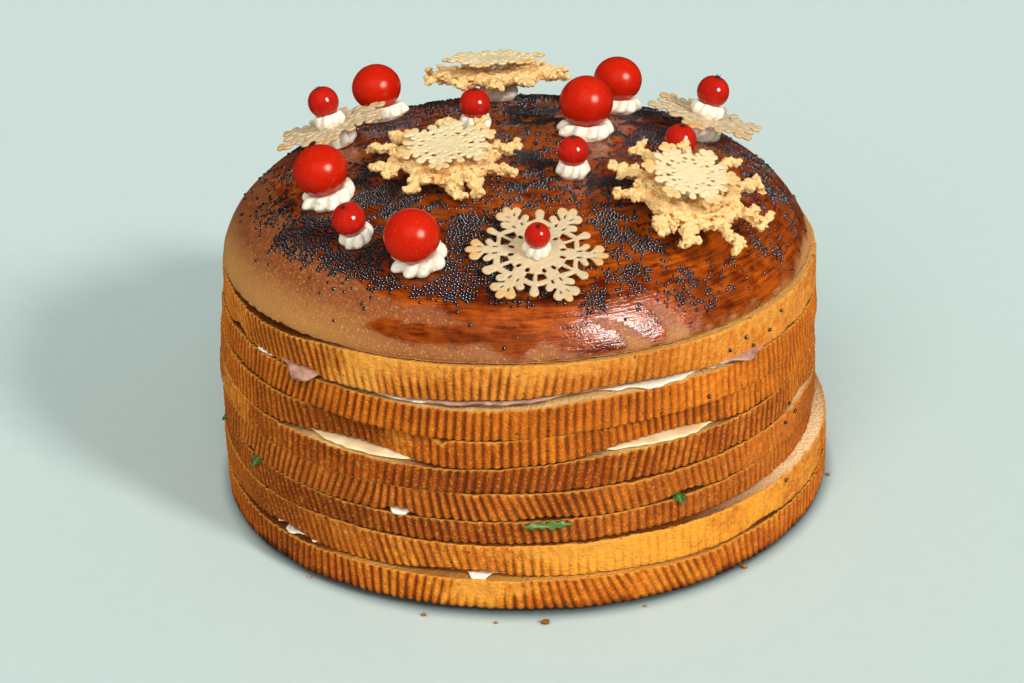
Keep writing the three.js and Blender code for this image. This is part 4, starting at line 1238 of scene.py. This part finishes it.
def hollows(piece, rounds):  # how far each point lies below its smoothed surface, mm
    mesh = piece.data
    start = np.array([v.co for v in mesh.vertices])
    normal = np.array([v.normal for v in mesh.vertices])
    edges = np.array([e.vertices[:] for e in mesh.edges])
    count = np.bincount(edges.ravel(), minlength=len(start))[:, None]
    smooth = start.copy()
    for _ in range(rounds):
        total = np.zeros_like(smooth)
        np.add.at(total, edges[:, 0], smooth[edges[:, 1]])
        np.add.at(total, edges[:, 1], smooth[edges[:, 0]])
        smooth = 0.5 * smooth + 0.5 * total / count
    return np.einsum("ij,ij->i", smooth - start, normal)


def makePuffedWafer(number, holder, height, reach, tree):
    points, edges = puffSkeleton(reach, 300 + number)
    mesh = bpy.data.meshes.new("puffSkeleton")
    mesh.from_pydata(points, edges, [])
    piece = addThing(f"puffedWafer{number}", mesh)
    span, tall = reach * puffing["margin"], puffing["halfHeight"]
    step = puffing["voxel"]
    runTree(piece, tree, {
        "Low": (-span, -span, -tall), "High": (span, span, tall),
        "Resolution": (int(2 * span / step), int(2 * span / step), int(2 * tall / step)),
        "Arm Radius": puffing["armRadius"], "Lump Height": puffing["lumps"], "Pit Depth": puffing["pits"],
        "Seed Offset": (40.0 * number, 17.0, 5.0), "Cheese": puffedCheese})
    keepLargest(piece)
    co = np.array([v.co for v in piece.data.vertices])
    # golden in hollows, on the underside and round the middle under the thin wafer: painted shade, with random
    # toast
    toast = 0.25 * rough(co, 6, 320 + number) + 1.0 * easeStep(-0.03, 0.36, hollows(piece, 14))
    toast += 0.4 * easeStep(0.2, -1.8, co[:, 2]) - 0.16
    web = easeStep(0.72, 0.45, np.hypot(co[:, 0], co[:, 1]) / reach)
    toast += 0.5 * web * easeStep(0, 0.45, rough(co, 4.5, 350 + number))
    normal = np.array([v.normal for v in piece.data.vertices])
    co += normal * (0.34 * rough(co, 1.0, 330 + number) + 0.2 * rough(co, 1.8, 340 + number))[:, None]
    most = puffThickness * puffing["flattened"]
    co[:, 2] = np.clip(co[:, 2], -most, most) + height + puffThickness / 2
    piece.data.vertices.foreach_set("co", placed(co, holder).ravel())
    piece.data.update()
    paint(piece, toast=toast)
    settle(piece, "puff", f"puffed_wafer_{number}")


def makeStacks():
    tree = puffTree()
    puffs, berries = 0, len(currants)
    for number, stack in stacks.items():
        holder = standOnCap(stack["at"], stack["lean"])
        slide = stack.get("slide", 0)
        top = clearance
        if "under" in stack:
            makeStar(holder, top, underRadius, top + stack["under"], ground=stack["at"])
            top += stack["under"] + clearance
        if "puff" in stack:
            puffs += 1
            makePuffedWafer(puffs, holder, top, stack["puff"], tree)
            top += puffThickness + clearance
            makeStar(holder, top, betweenRadius, top + stack["between"], slide=slide)
            top += stack["between"] + clearance
        # wafers on puffs take the paler copy, painted light
        melted, cheese = (0.4, thinCheesePaintedLit) if "puff" in stack else (0.24, thinCheese)
        makeThinWafer(number, holder, top, stack["reach"], stack["turn"], slide, melted, cheese)
        top += waferThickness + clearance
        if "currant" in stack:
            berries += 1
            makeCurrant(berries, holder, top, stack["currant"])


makeStacks()
print("wafers made")


# Poppy seeds, strewn on the cap by the density painted there

def poppySkin():
    # Poppy seed: slate blue to black, finely netted, a small sharp shine on its curve
    material, add, where = startMaterial("poppySeedCoat")
    tone = add("Attribute", attribute_name="tone").outputs["Fac"]
    net = add("TexVoronoi", [where, 1 / (0.25 * mm)], feature="DISTANCE_TO_EDGE")
    coat = add("Mix", [tone, "#040405", "#1d2026"], data_type="RGBA")
    bump = add("Bump", {"Height": net, "Strength": 0.3, "Distance": 0.05 * mm})
    return endMaterial(material, add, {
        "Base Color": coat, "Normal": bump, "Roughness": 0.18, "IOR": 1.8, "Specular IOR Level": 0.8})


def seedTree():
    tree, add, inp = startTree("poppyScatter", {
        "Apart": "Float", "Tries": "Float", "Seed": "Int", "Size": "Vector", "Coat": "Material"})
    thick = add("GeometryNodeInputNamedAttribute", {"Name": "seedDensity"}, data_type="FLOAT")
    spots = add("GeometryNodeDistributePointsOnFaces", {
        "Mesh": inp["Geometry"], "Distance Min": inp["Apart"], "Density Max": inp["Tries"],
        "Density Factor": thick, "Seed": inp["Seed"]}, distribute_method="POISSON")
    ball = add("GeometryNodeMeshIcoSphere", {"Radius": 0.5, "Subdivisions": 1})
    form = add("GeometryNodeTransform", {"Geometry": ball, "Scale": inp["Size"]})
    spin = add("FunctionNodeRandomValue", {
        "Seed": inp["Seed"], 0: (-0.5, -0.5, 0.0), 1: (0.5, 0.5, 6.283)}, data_type="FLOAT_VECTOR")
    turned = add("FunctionNodeRotateRotation", {0: spots.outputs["Rotation"], 1: spin}, rotation_space="LOCAL")
    grow = add("FunctionNodeRandomValue", {"Seed": inp["Seed"], 2: 0.82, 3: 1.12}, data_type="FLOAT")
    placedSeeds = add("GeometryNodeInstanceOnPoints", {
        "Points": spots.outputs["Points"], "Instance": form, "Rotation": turned, "Scale": grow})
    tone = add("FunctionNodeRandomValue", {"Seed": inp["Seed"], 2: 0, 3: 1}, data_type="FLOAT")
    toned = add("GeometryNodeStoreNamedAttribute", {
        "Geometry": placedSeeds, "Value": tone, "Name": "tone"}, data_type="FLOAT", domain="INSTANCE")
    endTree(add, toned, inp["Coat"])
    return tree


seedFaces = 20  # of the smallest ball


def makeSeeds():
    mesh = cap.data.copy()
    mesh.name = "poppySeeds"
    piece = addThing("poppySeeds", mesh)
    co = np.array([v.co for v in mesh.vertices]) / mm
    density = np.zeros(len(co), np.float32)
    mesh.attributes["seedDensity"].data.foreach_get("value", density)
    for x, y, radius in seedless:
        density[np.hypot(co[:, 0] - x, co[:, 1] - y) < 0.9 * radius] = 0
    mesh.attributes["seedDensity"].data.foreach_set("value", density)
    runTree(piece, seedTree(), {
        "Apart": poppy["apart"] * mm, "Tries": poppy["tries"] / mm ** 2, "Seed": poppy["seed"],
        "Size": (poppy["length"] * mm, poppy["width"] * mm, poppy["height"] * mm), "Coat": seedCoat})
    piece.data.polygons.foreach_set("use_smooth", [True] * len(piece.data.polygons))
    settle(piece, "glazed_crust", "bread_cap")
    print("poppy seeds:", len(piece.data.polygons) // seedFaces)


# single seeds that fell on to the sides: direction, mm up
straySeeds = [(-31.5, 46), (-34, 41), (-30, 42), (-45, 77), (-47, 81), (-40, 79), (-56, 66), (-37, 23), (-36, 83),
              (-51, 79)]


def icoBall(radius):  # points and faces of a small ball
    work = bmesh.new()
    bmesh.ops.create_icosphere(work, subdivisions=2, radius=radius)
    points = np.array([v.co for v in work.verts])
    faces = np.array([[v.index for v in face.verts] for face in work.faces])
    work.free()
    return points, faces


def makeStraySeeds():
    sides = []
    for number in crusts:
        mesh = bpy.data.objects[f"breadSlice{number}"].data
        co = np.zeros(3 * len(mesh.vertices), np.float32)
        mesh.vertices.foreach_get("co", co)
        sides.append(co.reshape(-1, 3) / mm)
    co = np.concatenate(sides)
    out, bearing = np.hypot(co[:, 0], co[:, 1]), np.degrees(np.arctan2(co[:, 1], co[:, 0]))
    ball, corners = icoBall(0.5)
    ball *= (poppy["height"], poppy["length"], poppy["width"])
    points, faces, tone = [], [], []
    for k, (direction, height) in enumerate(straySeeds):
        near = (np.abs(bearing - direction) < 0.8) & (np.abs(co[:, 2] - height) < 1)
        turn = Matrix.Rotation(math.radians(direction), 4, "Z")
        turn = turn @ Matrix.Translation((out[near].max() + 0.2, 0, height))
        faces += (corners + len(ball) * k).tolist()
        points.append(placed(ball, turn @ Matrix.Rotation(1.9 * k, 4, "X")))
        tone += [0.37 * k % 1] * len(ball)
    piece = makePiece("straySeeds", np.concatenate(points), faces, [seedCoat])
    paint(piece, tone=tone)
    settle(piece, "glazed_crust")


seedCoat = poppySkin()
makeSeeds()
makeStraySeeds()


# Fillings, squeezed out unevenly between the breads

# how uneven the edge is and in lumps of what size, how far it lies back, all in mm, and, as [direction, half
# width, mm], where it comes out and where it hangs
fillings = {
    "cream_1_2": {"slot": "cream", "ragged": 0.9, "lump": 5, "back": 1.8,
                  "outs": [(-155, 3, 1.8), (-92, 7, 0.8), (-57, 19, 2.4)],
                  "droops": [(-60, 3, 0.8), (-52, 4, 0.9)]},
    "ham_1_2": {"slot": "ham", "ragged": 1.2, "lump": 7, "back": 0.3,
                "outs": [(-108, 14, 0.8), (-46, 7, 1.2)],
                "droops": [(-131, 3.6, 2.4), (-106, 10, 0.7), (-45, 6, 1.2)]},
    "pale_spread_3_4": {"slot": "spread", "ragged": 0.9, "lump": 6, "back": 1.6,
                        "outs": [(-123, 18, 1.6), (-66, 17, 1.6)]},
    "cream_5_6": {"slot": "cream", "ragged": 0.7, "lump": 4, "back": 2.4,
                  "outs": [(-150, 4, 2.6), (-112, 3.2, 3.0), (-58, 5, 2.0)], "droops": [(-112, 2.4, 0.8)]},
    "cream_7_8": {"slot": "cream", "ragged": 0.8, "lump": 3, "back": 2.6,
                  "outs": [(-142, 2, 2.0), (-137, 2.4, 2.0), (-130, 2, 1.8), (-98, 2.4, 2.2), (-44, 7, 2.0)],
                  "droops": [(-98, 2.2, 1.0)]},
    "salmon_7_8": {"slot": "salmon", "ragged": 1.2, "lump": 7, "back": 1.2, "outs": [(-101, 12, 1.0)]},
}


def moistFilling(name, pale, deep, size):
    # Sliced ham or fish, or smeared spread: moist, satin, streaked along the muscle or the knife
    material, add, where = startMaterial(name)
    grain = add("Mapping", {"Vector": where, "Scale": (1, 1, 2.5)})
    streak = add("TexNoise", [grain, 1 / (size * mm), 3])
    share = add("MapRange", [streak, 0.35, 0.65])
    colour = add("Mix", [share, pale, deep], data_type="RGBA")
    wet = add("MapRange", [streak, 0, 1, 0.3, 0.5])
    bump = add("Bump", {"Height": streak, "Strength": 0.3, "Distance": 0.2 * mm})
    return endMaterial(material, add, {"Base Color": colour, "Roughness": wet, "Normal": bump, "IOR": 1.4})


fillingLooks = {
    "cream": creamWhite,
    "ham": moistFilling("slicedCookedHam", "#c39079", "#8a6656", 4),
    "salmon": moistFilling("slicedSmokedSalmon", "#c8562a", "#8e2f14", 3),
    "spread": moistFilling("paleCheeseSpread", "#ecd3a8", "#dcbb87", 6),
}
fillingSpokes = 900
# mm in from the edge and share of the thickness, round the rim
fillingRim = ((14, 0), (2.4, 0), (1.2, 0), (0.35, 0.12), (0, 0.5), (0.35, 0.88), (1.2, 1), (2.4, 1), (14, 1))


def makeFilling(node, look, seed):
    (low, high), middles = readSpokes(node)
    angles = allRound(fillingSpokes)
    lowR, lowZ, _, highZ = (aroundLoaf(ring[:, k], angles) for ring in (low, high) for k in (0, 1))
    spot = onSpokes(angles, lowR, 0)
    edge = lowR - look["back"] + plateaus(angles, look["outs"])
    edge += look["ragged"] * (rough(spot, look["lump"], seed) + 0.5 * rough(spot, look["lump"] / 2.7, seed + 1))
    thick = (highZ - lowZ) * (0.85 + 0.15 * rough(spot, 3, seed + 2))
    droop = plateaus(angles, look.get("droops", []))  # loose flaps hang over the slice below
    edge = edge + 0.5 * droop
    rings = []
    for inset, level in fillingRim:
        hang = droop * max(0, 1 - inset / 2.6)
        rings.append(onSpokes(angles, edge - inset, lowZ + thick * level - hang))
    points, faces = lathe(np.array(rings), (0, 0, middles[0]), (0, 0, middles[-1]))
    name = "".join(part.title() for part in node.split("_"))
    piece = makePiece(name[0].lower() + name[1:], points * mm, faces, [fillingLooks[look["slot"]]])
    settle(piece, look["slot"], node)


for k, (node, look) in enumerate(fillings.items()):
    makeFilling(node, look, 400 + 20 * k)
print("fillings made")


# Leaves that stick out between slices 5 and 6

leaves = {  # sizes in mm, how much the blade folds up, whether it lies along the joint
    1: {"direction": -165, "length": 6, "width": 4, "droop": 1.5, "fold": 0.5, "green": "#33501f"},
    2: {"direction": -147, "length": 6, "width": 6, "droop": 4, "fold": 0.4, "green": "#46692f"},
    3: {"direction": -86, "length": 15, "width": 3, "droop": 0.8, "fold": 0.25, "green": "#648236", "along": True},
    4: {"direction": -62, "length": 6, "width": 4.6, "droop": 2, "fold": 0.3, "green": "#3d6628"},
}
leafShares = (0.35, 0.75, 0.6, 1.0, 0.7, 0.15)  # of its width, from the stalk to the tip
leafRoot = 101.5  # mm from the loaf's middle


def leafSkin(number, green):
    # Rocket leaf: thin, satin, paler along its veins
    material, add, where = startMaterial(f"rocketLeaf{number}")
    vein = add("Attribute", attribute_name="vein").outputs["Fac"]
    cell = add("TexNoise", [where, 1 / (1.2 * mm), 2])
    base = add("Mix", [cell, "#35501c", green], data_type="RGBA")
    lined = add("Mix", [vein, base, "#6f9150"], data_type="RGBA")
    bump = add("Bump", {"Height": cell, "Strength": 0.3, "Distance": 0.15 * mm})
    return endMaterial(material, add, {"Base Color": lined, "Normal": bump, "Roughness": 0.45})


def makeLeaf(number, look):
    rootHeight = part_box(f"green_leaf_{number}")[1].z / mm - 0.6
    angle = math.radians(look["direction"])
    rows, across = 22, 9
    half, ahead, below = 0.2, 5.4, 1.2  # mm, of its thickness, and where one along the joint lies
    points, vein = [], []
    for side in (1, -1):
        for i in range(rows):
            share = i / (rows - 1)
            wide = np.interp(share, np.linspace(0, 1, len(leafShares)), leafShares) * look["width"]
            wide *= 1 + (0.45 if look.get("along") else 0.2) * math.sin(30 * share + number)
            for j in range(across):
                v = j / (across - 1) - 0.5
                lift = look["fold"] * abs(v) * wide + 0.35 * math.sin(9 * share + 7 * v + number)
                z = lift * share - look["droop"] * share ** 2 + side * half
                if look.get("along"):
                    points.append((ahead - 0.5 * lift + side * half, look["length"] * (share - 0.5),
                                   v * wide - below - z * 0.3))
                else:
                    points.append((look["length"] * share, v * wide, z))
                branch = max(0, math.cos(26 * (share - 0.6 * abs(v)))) ** 6
                vein.append(0.7 * math.exp(-(v / 0.06) ** 2) + 0.35 * branch)
    sheet = rows * across
    faces = []
    for i in range(rows - 1):
        for j in range(across - 1):
            a = i * across + j
            faces.append([a, a + across, a + across + 1, a + 1])
            faces.append([sheet + a, sheet + a + 1, sheet + a + across + 1, sheet + a + across])
    rim = [i * across for i in range(rows)] + [(rows - 1) * across + j for j in range(1, across)]
    rim += [i * across + across - 1 for i in range(rows - 2, -1, -1)] + list(range(across - 2, 0, -1))
    for k, a in enumerate(rim):
        b = rim[(k + 1) % len(rim)]
        faces.append([a, sheet + a, sheet + b, b])
    foot = (leafRoot * math.cos(angle), leafRoot * math.sin(angle), rootHeight)
    holder = Matrix.Translation(foot) @ Matrix.Rotation(angle, 4, "Z")
    piece = makePiece(f"greenLeaf{number}", placed(points, holder), faces, [leafSkin(number, look["green"])])
    paint(piece, vein=vein)
    settle(piece, "leaf", f"green_leaf_{number}")


for number, look in leaves.items():
    makeLeaf(number, look)
print("leaves made")


# Crumbs that fell at the foot

# direction, mm from the middle, size in mm
crumbs = [(-87, 112.5, 1.2), (-49, 110, 0.8), (-107, 111, 0.6), (-131, 108.5, 0.6), (-95, 112, 0.4),
          (-70, 111, 0.5), (-12, 112, 0.6), (60, 109, 0.7), (150, 109, 0.6)]


def makeCrumbs():
    points, faces = [], []
    for k, (direction, out, size) in enumerate(crumbs):
        angle = math.radians(direction)
        co, corners = icoBall(size)
        co *= (1 + 0.35 * rough(co + 9 * k, 0.8, 500))[:, None] * np.array([1.2, 0.9, 0.7])
        co += (out * math.cos(angle), out * math.sin(angle), -co[:, 2].min())
        faces += (corners + len(points)).tolist()
        points += co.tolist()
    piece = makePiece("crumbs", np.array(points) * mm, faces, [crumbBrown()])
    settle(piece, "crust")


def crumbBrown():
    # Crumbs of crust: dry, gold to burnt
    material, add, where = startMaterial("crustCrumbsDry")
    tone = add("TexNoise", [where, 1 / (6 * mm), 3])
    share = add("MapRange", [tone, 0.35, 0.65])
    colour = add("Mix", [share, "#6a2c0a", "#c97a2a"], data_type="RGBA")
    return endMaterial(material, add, {"Base Color": colour, "Roughness": 0.85, "Specular IOR Level": 0.1})


makeCrumbs()
print("crumbs made")
